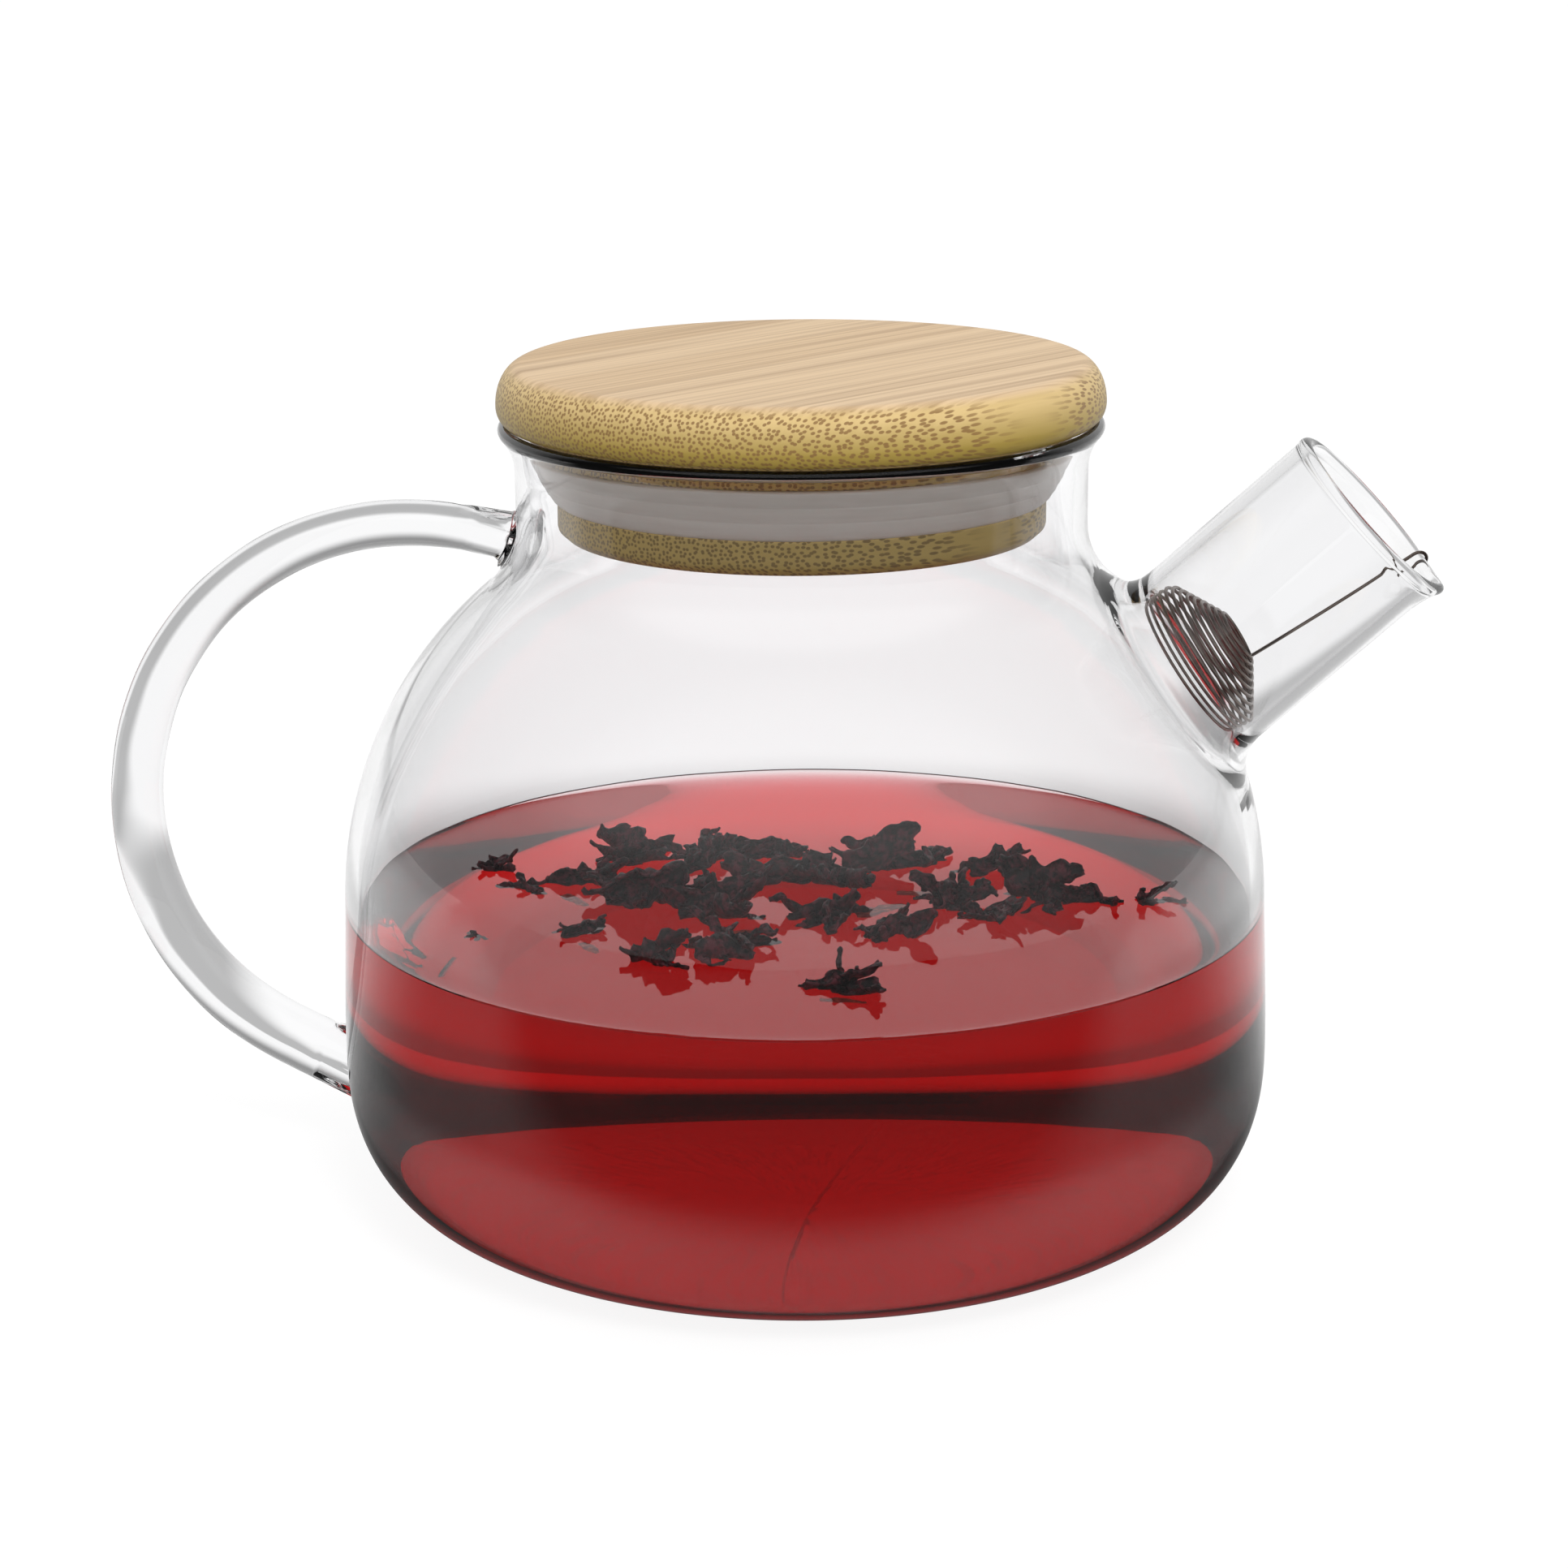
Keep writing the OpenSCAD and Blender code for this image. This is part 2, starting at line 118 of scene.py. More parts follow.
FLARE_Z = RIM_Z - GLASS_T / 2 - (RIM_FLARE_R + GLASS_T / 2) * math.sin(math.radians(FLARE_A))
LIP_X = FLARE_X - (RIM_FLARE_R + GLASS_T / 2) * math.cos(math.radians(FLARE_A))
LIP_Z = RIM_Z - GLASS_T / 2

SPOUT_ROOT_A = SHOULDER_A1 - math.degrees(SPOUT_DROP / SHOULDER_R)
SPOUT_ROOT = np.array([SHOULDER_X + SHOULDER_R * math.cos(math.radians(SPOUT_ROOT_A)), 0.0,
                       SHOULDER_CZ + SHOULDER_R * math.sin(math.radians(SPOUT_ROOT_A))])
SPOUT_AXIS = np.array([math.cos(math.radians(SPOUT_TILT)), 0.0, math.sin(math.radians(SPOUT_TILT))])
SPOUT_DOWN = np.array([SPOUT_AXIS[2], 0.0, -SPOUT_AXIS[0]])
ACROSS = np.array([0.0, 1.0, 0.0])
BORE_R = SPOUT_R - SPOUT_T
MOUTH_R = SPOUT_T / 2 + MOUTH_SWELL
MOUTH_X = BORE_R + SPOUT_T / 2
MOUTH_Z = SPOUT_L - MOUTH_R

HANDLE_X = -(BODY_R + FINGER_ROOM + (ROD_TOP_R + ROD_LOW_R) / 2)
UPPER_X = HANDLE_X + HANDLE_UPPER_R
RUN_X = UPPER_X + HANDLE_UPPER_R * math.sin(HANDLE_DIP)
RUN_Z = HOLLOW_Z - HANDLE_DROP + (-NECK_R - RUN_X) * math.tan(HANDLE_DIP)
HANDLE_Z = RUN_Z - HANDLE_UPPER_R * math.cos(HANDLE_DIP)
CORNER_SHARE = (1 - (1 - HANDLE_FOOT / BELLY_Z) ** CORNER_POWER) ** (1 / CORNER_POWER)
FOOT_X = -(BASE_FLAT_R + (BODY_R - BASE_FLAT_R) * CORNER_SHARE)
HANDLE_LOWER_R = (HANDLE_Z - HANDLE_FOOT + (HANDLE_X - FOOT_X) * math.tan(HANDLE_SLOPE)) \
    / (math.cos(HANDLE_SLOPE) - (1 - math.sin(HANDLE_SLOPE)) * math.tan(HANDLE_SLOPE))
LOWER_X = HANDLE_X + HANDLE_LOWER_R
LOWER_END_X = LOWER_X - HANDLE_LOWER_R * math.sin(HANDLE_SLOPE)
LOWER_END_Z = HANDLE_Z - HANDLE_LOWER_R * math.cos(HANDLE_SLOPE)

LATHE_N = 288
SPOUT_N = 144
ROD_N = 48
VIEW_TURN = math.radians(9)


# ---------------------------------------------------------------- small mesh tools
def arc(cx, cz, r, a0, a1, steps):
    a = np.radians(np.linspace(a0, a1, steps + 1))
    return np.column_stack([cx + r * np.cos(a), cz + r * np.sin(a)])


def line(p, q, steps):
    return np.column_stack([np.linspace(p[0], q[0], steps + 1), np.linspace(p[1], q[1], steps + 1)])


def joined(*runs):
    """Runs of points one after another, without the points that repeat where they meet."""
    points = [runs[0]]
    for run in runs[1:]:
        near = np.linalg.norm(run[0] - points[-1][-1]) < 1e-6
        points.append(run[1:] if near else run)
    return np.concatenate(points)


def lathe(profile, n=LATHE_N):
    """Vertices and quads of a profile turned about Z. A point on the axis becomes one vertex."""
    verts = []
    rows = []
    for r, z in profile:
        if r < 1e-6:
            rows.append([len(verts)])
            verts.append((0.0, 0.0, z))
            continue
        rows.append(list(range(len(verts), len(verts) + n)))
        for k in range(n):
            a = 2 * math.pi * k / n
            verts.append((r * math.cos(a), r * math.sin(a), z))
    faces = []
    for low, high in zip(rows, rows[1:]):
        for k in range(n):
            j = (k + 1) % n
            if len(low) == 1:
                faces.append((low[0], high[j], high[k]))
            elif len(high) == 1:
                faces.append((low[k], low[j], high[0]))
            else:
                faces.append((low[k], low[j], high[j], high[k]))
    return np.array(verts), faces


def new_object(name, verts, faces, material):
    mesh = bpy.data.meshes.new(name)
    mesh.from_pydata([tuple(v) for v in np.asarray(verts) * MM], [], [list(map(int, f)) for f in faces])
    mesh.update()
    mesh.shade_smooth()
    mesh.materials.append(material)
    thing = bpy.data.objects.new(name, mesh)
    bpy.context.scene.collection.objects.link(thing)
    return thing


def outward(thing):
    """Makes every face of a closed mesh point outwards."""
    bm = bmesh.new()
    bm.from_mesh(thing.data)
    bmesh.ops.recalc_face_normals(bm, faces=bm.faces)
    bm.to_mesh(thing.data)
    bm.free()
    return thing


def unit(v):
    return v / np.linalg.norm(v)


def frames(path, side):
    """A side vector and its partner at each point of a path, carried along it without twist."""
    heads = [unit(path[min(i + 1, len(path) - 1)] - path[max(i - 1, 0)]) for i in range(len(path))]
    pairs = []
    for head in heads:
        side = unit(side - side.dot(head) * head)
        pairs.append((side, np.cross(head, side)))
    return pairs


def rings(path, radii, n, side):
    """Round cross-sections along a path, as an array of [ring][corner][xyz]."""
    a = 2 * np.pi * np.arange(n) / n
    return np.array([p + r * (np.outer(np.cos(a), u) + np.outer(np.sin(a), v))
                     for p, r, (u, v) in zip(path, radii, frames(path, side))])


def tube_faces(count, n):
    """The quads between count rings of n corners."""
    faces = []
    for i in range(count - 1):
        for k in range(n):
            j = (k + 1) % n
            a = i * n
            faces.append((a + k, a + j, a + n + j, a + n + k))
    return faces


# ---------------------------------------------------------------- the pot's wall
def wall(t, floor_z, fine=1):
    """The pot's wall, t inside its outer face, from the edge of the base to the end of the rim's flare."""
    a = np.radians(np.linspace(0, 90, 28 * fine + 1))
    corner = np.column_stack([
        BASE_FLAT_R + (BODY_R - t - BASE_FLAT_R) * np.sin(a) ** (2 / CORNER_POWER),
        BELLY_Z - (BELLY_Z - floor_z) * np.cos(a) ** (2 / CORNER_POWER)])
    s = np.linspace(0, 1, 16 * fine + 1)
    taper = np.column_stack([BODY_R - t - WALL_TAPER * (2 * s ** 2 - s ** 3),
                             BELLY_Z + (SHOULDER_Z - BELLY_Z) * s])
    shoulder = arc(SHOULDER_X, SHOULDER_CZ, SHOULDER_R - t, SHOULDER_A0, SHOULDER_A1, 36 * fine)
    taper[-1] = shoulder[0]
    hollow = arc(HOLLOW_X, HOLLOW_Z, NECK_FILLET + t, 180 + SHOULDER_A1, 180, 14 * fine)
    neck = line((NECK_R - t, HOLLOW_Z), (NECK_R - t, FLARE_Z), 8 * fine)
    flare = arc(FLARE_X, FLARE_Z, RIM_FLARE_R + t, 180, 180 - FLARE_A, 8 * fine)
    return joined(corner, taper, shoulder, hollow, neck, flare)


OUTER = wall(0, 0, 4)
INNER = wall(GLASS_T, BASE_T, 4)


REACH_IN = -40.0
REACH_OUT = 24.0
REACH_STEPS = 40
TOE_Z = 2.0
TOE_STEPS = 16
BEAD_W = 0.13
CUT_IN = -30.0
CUT_SPARE_Z = TOE_Z - 0.8
SPOUT_MARGIN = 0.9
ROD_MARGIN = 0.7


def reach(points, direction, skin):
    """How far along direction each point meets the wall whose profile is skin."""
    lo = np.full(len(points), REACH_IN)
    hi = np.full(len(points), REACH_OUT)
    for _ in range(REACH_STEPS):
        mid = (lo + hi) / 2
        at = points + mid[:, None] * direction
        inside = np.hypot(at[:, 0], at[:, 1]) < np.interp(at[:, 2], skin[:, 1], skin[:, 0])
        lo = np.where(inside, mid, lo)
        hi = np.where(inside, hi, mid)
    return (lo + hi) / 2


def flared_root(centre, axis, u, v, r, spread, rise, skin, n, steps, bead=0.0, bead_at=0.7):
    """Rings from a straight tube of radius r out onto the wall: the tube's line turns through a hollow
    that starts rise above the wall and ends spread outside the tube, or less where that would pass under the
    base. A bead stands out near its foot. Also returns how far along each line of the tube meets the wall."""
    a = 2 * np.pi * np.arange(n) / n
    spoke = np.outer(np.cos(a), u) + np.outer(np.sin(a), v)
    foot = reach(centre + r * spoke, axis, skin)
    least = np.zeros(n)
    most = np.full(n, float(spread))
    wide = most
    for _ in range(TOE_STEPS):
        start = centre + (r + wide)[:, None] * spoke
        dips = start[:, 2] + reach(start, axis, skin) * axis[2] < TOE_Z
        most = np.where(dips, wide, most)
        least = np.where(dips, least, wide)
        wide = (least + most) / 2
    wide = least
    toe = reach(centre + (r + wide)[:, None] * spoke, axis, skin)
    out = []
    for w in np.linspace(0, 1, steps + 1):
        radius = r + w ** 2 * wide
        along = (1 - w) ** 2 * (foot + rise) + 2 * w * (1 - w) * foot + w ** 2 * toe
        lump = bead * math.exp(-((w - bead_at) / BEAD_W) ** 2)
        out.append(centre + (radius + 0.5 * lump)[:, None] * spoke + (along + lump)[:, None] * axis)
    return out, foot


def in_bore(face, centre, axis, radius):
    """Whether a corner of a face lies within radius of an axis, and not on the pot's far side."""
    away = [np.array(v.co) - centre for v in face.verts]
    return any(d.dot(axis) > CUT_IN and np.linalg.norm(d - d.dot(axis) * axis) < radius for d in away)


def on_inner_wall(vert):
    return abs(math.hypot(vert.co.x, vert.co.y) - np.interp(vert.co.z, INNER[:, 1], INNER[:, 0])) < 0.02


def refill(bm, doomed, ring_verts, axis):
    """Takes faces out of the wall and fills what is left between the hole and a ring of vertices."""
    edges = set(e for f in doomed for e in f.edges)
    border = [e for e in edges if len(set(e.link_faces) - set(doomed)) == 1]
    bmesh.ops.delete(bm, geom=doomed, context="FACES")
    loop = [bm.edges.get(pair) for pair in zip(ring_verts, ring_verts[1:] + ring_verts[:1])]
    bmesh.ops.triangle_fill(bm, use_beauty=True, use_dissolve=False, edges=border + loop, normal=Vector(axis))


def join_outside(bm, ring_verts, centre, axis, radius):
    """Opens the pot's outer face round an axis and joins it to a ring. The base is left whole."""
    doomed = [face for face in bm.faces if face.tag and in_bore(face, centre, axis, radius)
              and all(v.co.z > CUT_SPARE_Z for v in face.verts)]
    refill(bm, doomed, ring_verts, axis)


def join_inside(bm, ring_verts, centre, axis, radius):
    """The same in the pot's inner face."""
    ring_set = set(ring_verts)
    doomed = [face for face in bm.faces if not face.tag and not any(v in ring_set for v in face.verts)
              and all(on_inner_wall(v) for v in face.verts) and in_bore(face, centre, axis, radius)]
    refill(bm, doomed, ring_verts, axis)


# ---------------------------------------------------------------- the handle's rod
ROD_IN_NECK = 4
ROD_IN_SIDE = 8
RUN_STEPS = 16
BEND_STEPS = 64
LOW_RUN_STEPS = 32
MELT = 0.45
MELT_REACH = 6.0
MELT_START = 0.8
MELT_FINE = 0.5
RIPPLE = 0.035
RIPPLE_START = 3
RIPPLE_FINE = 0.11


def rod_path():
    """Centreline of the rod from inside the neck to inside the pot's side, with its radius at each point."""
    start_x = -NECK_R + ROD_IN_NECK
    end_x = -BODY_R + ROD_IN_SIDE
    run = line((start_x, RUN_Z - (start_x - RUN_X) * math.tan(HANDLE_DIP)), (RUN_X, RUN_Z), RUN_STEPS)
    upper = arc(UPPER_X, HANDLE_Z, HANDLE_UPPER_R, 90 - math.degrees(HANDLE_DIP), 180, BEND_STEPS)
    lower = arc(LOWER_X, HANDLE_Z, HANDLE_LOWER_R, 180, 270 - math.degrees(HANDLE_SLOPE), BEND_STEPS)
    low_run = line((LOWER_END_X, LOWER_END_Z),
                   (end_x, LOWER_END_Z - (end_x - LOWER_END_X) * math.tan(HANDLE_SLOPE)), LOW_RUN_STEPS)
    points = joined(run, upper, lower, low_run)
    path = np.column_stack([points[:, 0], np.zeros(len(points)), points[:, 1]])
    bends = 2 * BEND_STEPS
    share = np.clip(np.arange(len(path)) - RUN_STEPS, 0, bends) / bends
    return path, ROD_TOP_R + (ROD_LOW_R - ROD_TOP_R) * share


def melted(ring_list):
    """Rings of the rod with the uneven swellings that the flame leaves near each end, and slight ones
    between."""
    middles = np.array([ring.mean(axis=0) for ring in ring_list])
    run = np.concatenate([[0], np.cumsum(np.linalg.norm(np.diff(middles, axis=0), axis=1))])
    out = [ring_list[0]]
    for ring, middle, along in zip(ring_list[1:-1], middles[1:-1], run[1:-1]):
        near = min(along, run[-1] - along)
        melt = MELT * math.exp(-(near / MELT_REACH) ** 2) * min(1, near / MELT_START)
        wave = RIPPLE * min(1, near / RIPPLE_START)
        push = np.array([1 + melt * noise.noise(Vector(p * MELT_FINE))
                         + wave * noise.noise(Vector(p * RIPPLE_FINE)) for p in ring])
        out.append(middle + (ring - middle) * push[:, None])
    return out + [ring_list[-1]]


def wall_distance(p):
    return math.hypot(p[0], p[1]) - float(np.interp(p[2], OUTER[:, 1], OUTER[:, 0]))


POUR_W = 3.6
POUR_L = 5.0
POUR_OUT = 1.3


def pour(ring):
    """Pulls the lowest part of the spout's rim out into the pouring lip."""
    local = ring - SPOUT_ROOT
    along = local @ SPOUT_AXIS
    low = local @ SPOUT_DOWN
    side = local[:, 1]
    near = np.exp(-(side / POUR_W) ** 2) * (low > 0)
    rise = np.clip((along - (SPOUT_L - POUR_L)) / POUR_L, 0, 1)
    pull = POUR_OUT * near * rise ** 1.6
    return ring + pull[:, None] * SPOUT_DOWN + (0.2 * pull)[:, None] * SPOUT_AXIS


def spout_rings():
    """Rings from the spout's foot on the outside, over its mouth and down the bore to its foot inside."""
    root, foot = flared_root(SPOUT_ROOT, SPOUT_AXIS, SPOUT_DOWN, ACROSS, SPOUT_R, SPOUT_FILLET, SPOUT_RISE,
                             OUTER, SPOUT_N, 16, bead=SPOUT_BEAD)
    bore, bore_foot = flared_root(SPOUT_ROOT, SPOUT_AXIS, SPOUT_DOWN, ACROSS, BORE_R, BORE_FILLET, BORE_RISE,
                                  INNER, SPOUT_N, 12)
    a = 2 * np.pi * np.arange(SPOUT_N) / SPOUT_N
    spoke = np.outer(np.cos(a), SPOUT_DOWN) + np.outer(np.sin(a), ACROSS)

    def straight(radius, start, end, shares):
        return [SPOUT_ROOT + radius * spoke + ((1 - w) * start + w * end)[:, None] * SPOUT_AXIS for w in shares]

    tube = straight(SPOUT_R, foot + SPOUT_RISE, MOUTH_Z - MOUTH_SOFT, np.linspace(0, 1, 26)[1:])
    rim = [SPOUT_ROOT + (MOUTH_X + MOUTH_R * math.cos(b)) * spoke
           + (MOUTH_Z + MOUTH_R * math.sin(b)) * SPOUT_AXIS for b in np.radians(np.linspace(-30, 210, 22))]
    down = straight(BORE_R, MOUTH_Z - MOUTH_SOFT, bore_foot + BORE_RISE, np.linspace(0, 1, 30)[:-1])
    return [pour(r) for r in root[::-1] + tube + rim + down] + bore


def handle_rings():
    """Rings of the rod with a hollow foot at each end, and the place, axis and radius of both ends."""
    path, radii = rod_path()
    clear = np.flatnonzero(np.array([wall_distance(p) for p in path]) > ROD_CLEAR)
    first = clear[0]
    last = clear[-1]
    rod = rings(path[first:last + 1], radii[first:last + 1], ROD_N, ACROSS)
    pairs = frames(path[first:last + 1], ACROSS)
    top_end = (path[first], unit(path[first] - path[first - 1]), radii[first])
    low_end = (path[last], -unit(path[last + 1] - path[last]), radii[last])
    feet = []
    for (place, axis, radius), (u, v), spread in ((top_end, pairs[0], ROD_TOP_FILLET),
                                                  (low_end, pairs[-1], ROD_LOW_FILLET)):
        feet.append(flared_root(place, axis, u, v, radius, spread, ROD_RISE, OUTER, ROD_N, 10,
                                bead=ROD_BEAD, bead_at=ROD_BEAD_AT)[0])
    return melted(feet[0][::-1] + list(rod) + feet[1]), top_end, low_end


def add_rings(bm, ring_list):
    """Adds rings as one open tube and returns the vertices of its first and last ring."""
    made = [[bm.verts.new(p) for p in ring] for ring in ring_list]
    for a, b in zip(made, made[1:]):
        for k in range(len(a)):
            j = (k + 1) % len(a)
            bm.faces.new((a[k], a[j], b[j], b[k])).tag = False
    return made[0], made[-1]


def glass_pot(material):
    """Body, spout and handle as the one piece of glass they are once they are fused."""
    outer = wall(0, 0)
    inner = wall(GLASS_T, BASE_T)
    lip = arc(LIP_X, LIP_Z, GLASS_T / 2, -FLARE_A, 180 - FLARE_A, 14)
    under = line((0, 0), (BASE_FLAT_R, 0), 14)
    floor_line = line((BASE_FLAT_R, BASE_T), (0, BASE_T), 14)
    outside = joined(under, outer, lip[:8])
    inside = joined(lip[7:], inner[::-1], floor_line)
    verts, faces = lathe(joined(outside, inside))
    outer_faces = (len(outside) - 1) * LATHE_N

    bm = bmesh.new()
    bverts = [bm.verts.new(v) for v in verts]
    for i, f in enumerate(faces):
        bm.faces.new([bverts[k] for k in f]).tag = i < outer_faces

    foot, bore_end = add_rings(bm, spout_rings())
    join_outside(bm, foot, SPOUT_ROOT, SPOUT_AXIS, SPOUT_R + SPOUT_FILLET + SPOUT_MARGIN)
    join_inside(bm, bore_end, SPOUT_ROOT, SPOUT_AXIS, BORE_R + BORE_FILLET + SPOUT_MARGIN)

    rod, top_end, low_end = handle_rings()
    top_foot, low_foot = add_rings(bm, rod)
    for ends, (place, axis, radius), spread in ((top_foot, top_end, ROD_TOP_FILLET),
                                                (low_foot, low_end, ROD_LOW_FILLET)):
        join_outside(bm, ends, place, axis, radius + spread + ROD_MARGIN)

    bmesh.ops.recalc_face_normals(bm, faces=bm.faces)
    bm.verts.index_update()
    points = np.array([v.co[:] for v in bm.verts])
    polys = [[v.index for v in f.verts] for f in bm.faces]
    print("open edges in the glass:", sum(1 for e in bm.edges if len(e.link_faces) != 2))
    bm.free()
    return new_object("glass_pot", points, polys, material)


# ---------------------------------------------------------------- materials
def shader(name, **values):
    """A new material with a Principled shader; values set its own sockets."""
    mat = bpy.data.materials.new(name)
    mat.use_nodes = True
    node = mat.node_tree.nodes["Principled BSDF"]
    for key, value in values.items():
        node.inputs[key.replace("_", " ")].default_value = value
    return mat, mat.node_tree, node


def tea_material():
    """Water that absorbs nearly all green and blue light, and less of the red."""
    mat, tree, node = shader("hibiscus_tea", Roughness=0.0, IOR=1.333, Transmission_Weight=1.0)
    node.inputs["Base Color"].default_value = (1, 1, 1, 1)
    volume = tree.nodes.new("ShaderNodeVolumeAbsorption")
    volume.inputs["Color"].default_value = (0.955, 0.0, 0.05, 1)
    volume.inputs["Density"].default_value = 180
    tree.links.new(volume.outputs[0], tree.nodes["Material Output"].inputs["Volume"])
    return mat


def link(tree, source, target):
    tree.links.new(source, target)


def maths(tree, operation, a, b=None):
    """A Math node on two values or sockets; returns its result."""
    node = tree.nodes.new("ShaderNodeMath")
    node.operation = operation
    for socket, value in zip(node.inputs, (a, b)):
        if value is None:
            continue
        if isinstance(value, (int, float)):
            socket.default_value = value
        else:
            link(tree, value, socket)
    return node.outputs[0]


def mixed(tree, share, a, b):
    """A colour mix of two colours or sockets; returns its colour."""
    node = tree.nodes.new("ShaderNodeMix")
    node.data_type = "RGBA"
    for socket, value in ((node.inputs[0], share), (node.inputs[6], a), (node.inputs[7], b)):
        if isinstance(value, tuple):
            socket.default_value = (*value, 1)
        elif isinstance(value, (int, float)):
            socket.default_value = value
        else:
            link(tree, value, socket)
    return node.outputs[2]


def step(tree, value, low, high, to_low=0.0, to_high=1.0):
    """Maps a value between low and high smoothly to to_low and to_high."""
    node = tree.nodes.new("ShaderNodeMapRange")
    node.interpolation_type = "SMOOTHSTEP"
    link(tree, value, node.inputs["Value"])
    for key, number in (("From Min", low), ("From Max", high), ("To Min", to_low), ("To Max", to_high)):
        node.inputs[key].default_value = number
    return node.outputs[0]


def place_in_object(tree, scale, turn=0.0):
    """Object coordinates, turned about Z and then scaled."""
    coord = tree.nodes.new("ShaderNodeTexCoord")
    turned = tree.nodes.new("ShaderNodeMapping")
    turned.inputs["Rotation"].default_value = (0, 0, math.radians(-turn))
    scaled = tree.nodes.new("ShaderNodeMapping")
    scaled.inputs["Scale"].default_value = scale
    link(tree, coord.outputs["Object"], turned.inputs["Vector"])
    link(tree, turned.outputs[0], scaled.inputs["Vector"])
    return scaled.outputs[0]


def noise_of(tree, vector, detail=2.0, rough=0.5):
    """Noise on coordinates that are scaled already."""
    node = tree.nodes.new("ShaderNodeTexNoise")
    link(tree, vector, node.inputs["Vector"])
    node.inputs["Scale"].default_value = 1.0
    node.inputs["Detail"].default_value = detail
    node.inputs["Roughness"].default_value = rough
    return node.outputs["Fac"]


def bump(tree, shader_node, height, strength, distance):
    node = tree.nodes.new("ShaderNodeBump")
    node.inputs["Strength"].default_value = strength
    node.inputs["Distance"].default_value = distance
    link(tree, height, node.inputs["Height"])
    link(tree, node.outputs[0], shader_node.inputs["Normal"])


def glass_material():
    """Clear glass, faintly tinted and with the slow waves of blown glass."""
    mat, tree, node = shader("clear_glass", Roughness=0.0, IOR=1.47, Transmission_Weight=1.0)
    tint = noise_of(tree, place_in_object(tree, (9, 9, 9)), 1.0)
    link(tree, mixed(tree, tint, (0.99, 0.99, 1.0), (1.0, 1.0, 1.0)), node.inputs["Base Color"])
    waves = noise_of(tree, place_in_object(tree, (45, 45, 60)), 1.0)
    bump(tree, node, waves, 0.15, 0.0006)
    return mat


def dot(tree, vector, direction):
    """How much of a place or direction lies along a fixed direction."""
    node = tree.nodes.new("ShaderNodeVectorMath")
    node.operation = "DOT_PRODUCT"
    link(tree, vector, node.inputs[0])
    node.inputs[1].default_value = direction
    return node.outputs["Value"]


def xyz(tree, vector):
    node = tree.nodes.new("ShaderNodeSeparateXYZ")
    link(tree, vector, node.inputs[0])
    return node.outputs


GRAIN_TURN = 56.0
STRIP_W = 0.0135
FIBRE_GAP = 0.00063


def bamboo_material(name, top, shade, edge, foot, fibre, dots):
    """Glued bamboo strips with their fibres along the grain: straight streaks where a face runs with it, and
    dark dots where the round edge cuts across it. The edge darkens towards its foot, partly in the wood's own
    yellower tint and partly as painted shade, and the flat underside has the colour of the top."""
    mat, tree, node = shader(name, Roughness=0.46)
    grain = xyz(tree, place_in_object(tree, (1, 1, 1), GRAIN_TURN))
    strip = tree.nodes.new("ShaderNodeTexWhiteNoise")
    strip.noise_dimensions = "1D"
    link(tree, maths(tree, "FLOOR", maths(tree, "MULTIPLY", grain["Y"], 1 / STRIP_W)), strip.inputs["W"])
    streaks = noise_of(tree, place_in_object(tree, (9, 1100, 500), GRAIN_TURN), 3.0, 0.65)
    lines = noise_of(tree, place_in_object(tree, (5, 420, 300), GRAIN_TURN))
    ends = tree.nodes.new("ShaderNodeCombineXYZ")
    link(tree, grain["Y"], ends.inputs["X"])
    link(tree, grain["Z"], ends.inputs["Y"])
    cells = tree.nodes.new("ShaderNodeTexVoronoi")
    cells.voronoi_dimensions = "2D"
    link(tree, ends.outputs[0], cells.inputs["Vector"])
    cells.inputs["Scale"].default_value = 1 / FIBRE_GAP
    cells.inputs["Randomness"].default_value = 0.8
    normal = tree.nodes.new("ShaderNodeNewGeometry").outputs["Normal"]
    turn = math.radians(GRAIN_TURN)
    along = dot(tree, normal, (math.cos(turn), math.sin(turn), 0))
    across = step(tree, maths(tree, "ABSOLUTE", along), 0.0, 0.3)
    up = xyz(tree, normal)["Z"]
    side = step(tree, up, 0.97, 0.6)
    # Painted shade: faces that turn downwards take the darker foot colour, which also carries the wood's
    # yellower tint.
    under = step(tree, up, 0.6, -0.2)
    flat = step(tree, up, -0.8, -0.98)
    base = mixed(tree, strip.outputs["Value"], top, shade)
    base = mixed(tree, maths(tree, "MULTIPLY", step(tree, lines, 0.5, 0.7), 0.4), base, fibre)
    base = mixed(tree, maths(tree, "MULTIPLY", step(tree, streaks, 0.4, 0.7), 0.4), base, fibre)
    base = mixed(tree, maths(tree, "MULTIPLY", side, 0.8), base, edge)
    # painted shade towards the edge's foot
    base = mixed(tree, under, base, foot)
    base = mixed(tree, flat, base, top)
    speck = step(tree, cells.outputs["Distance"], 0.4, 0.25)
    share = maths(tree, "MULTIPLY", maths(tree, "MULTIPLY", side, across), dots)
    colour = mixed(tree, maths(tree, "MULTIPLY", speck, share), base, fibre)
    link(tree, colour, node.inputs["Base Color"])
    bump(tree, node, streaks, 0.25, 0.0002)
    return mat


def silicone_material():
    mat, tree, node = shader("silicone", Roughness=0.42, Subsurface_Weight=0.25)
    node.inputs["Subsurface Radius"].default_value = (0.004, 0.003, 0.003)
    cloud = noise_of(tree, place_in_object(tree, (120, 120, 1400)))
    link(tree, mixed(tree, cloud, (0.82, 0.74, 0.68), (0.93, 0.86, 0.8)), node.inputs["Base Color"])
    bump(tree, node, cloud, 0.1, 0.0002)
    return mat


def steel_material():
    mat, tree, node = shader("drawn_steel", Metallic=1.0, Roughness=0.3)
    cloud = noise_of(tree, place_in_object(tree, (260, 260, 260)))
    link(tree, mixed(tree, cloud, (0.1, 0.065, 0.05), (0.36, 0.31, 0.28)), node.inputs["Base Color"])
    scratches = noise_of(tree, place_in_object(tree, (3000, 3000, 3000)), 1.0)
    bump(tree, node, scratches, 0.1, 0.00005)
    return mat


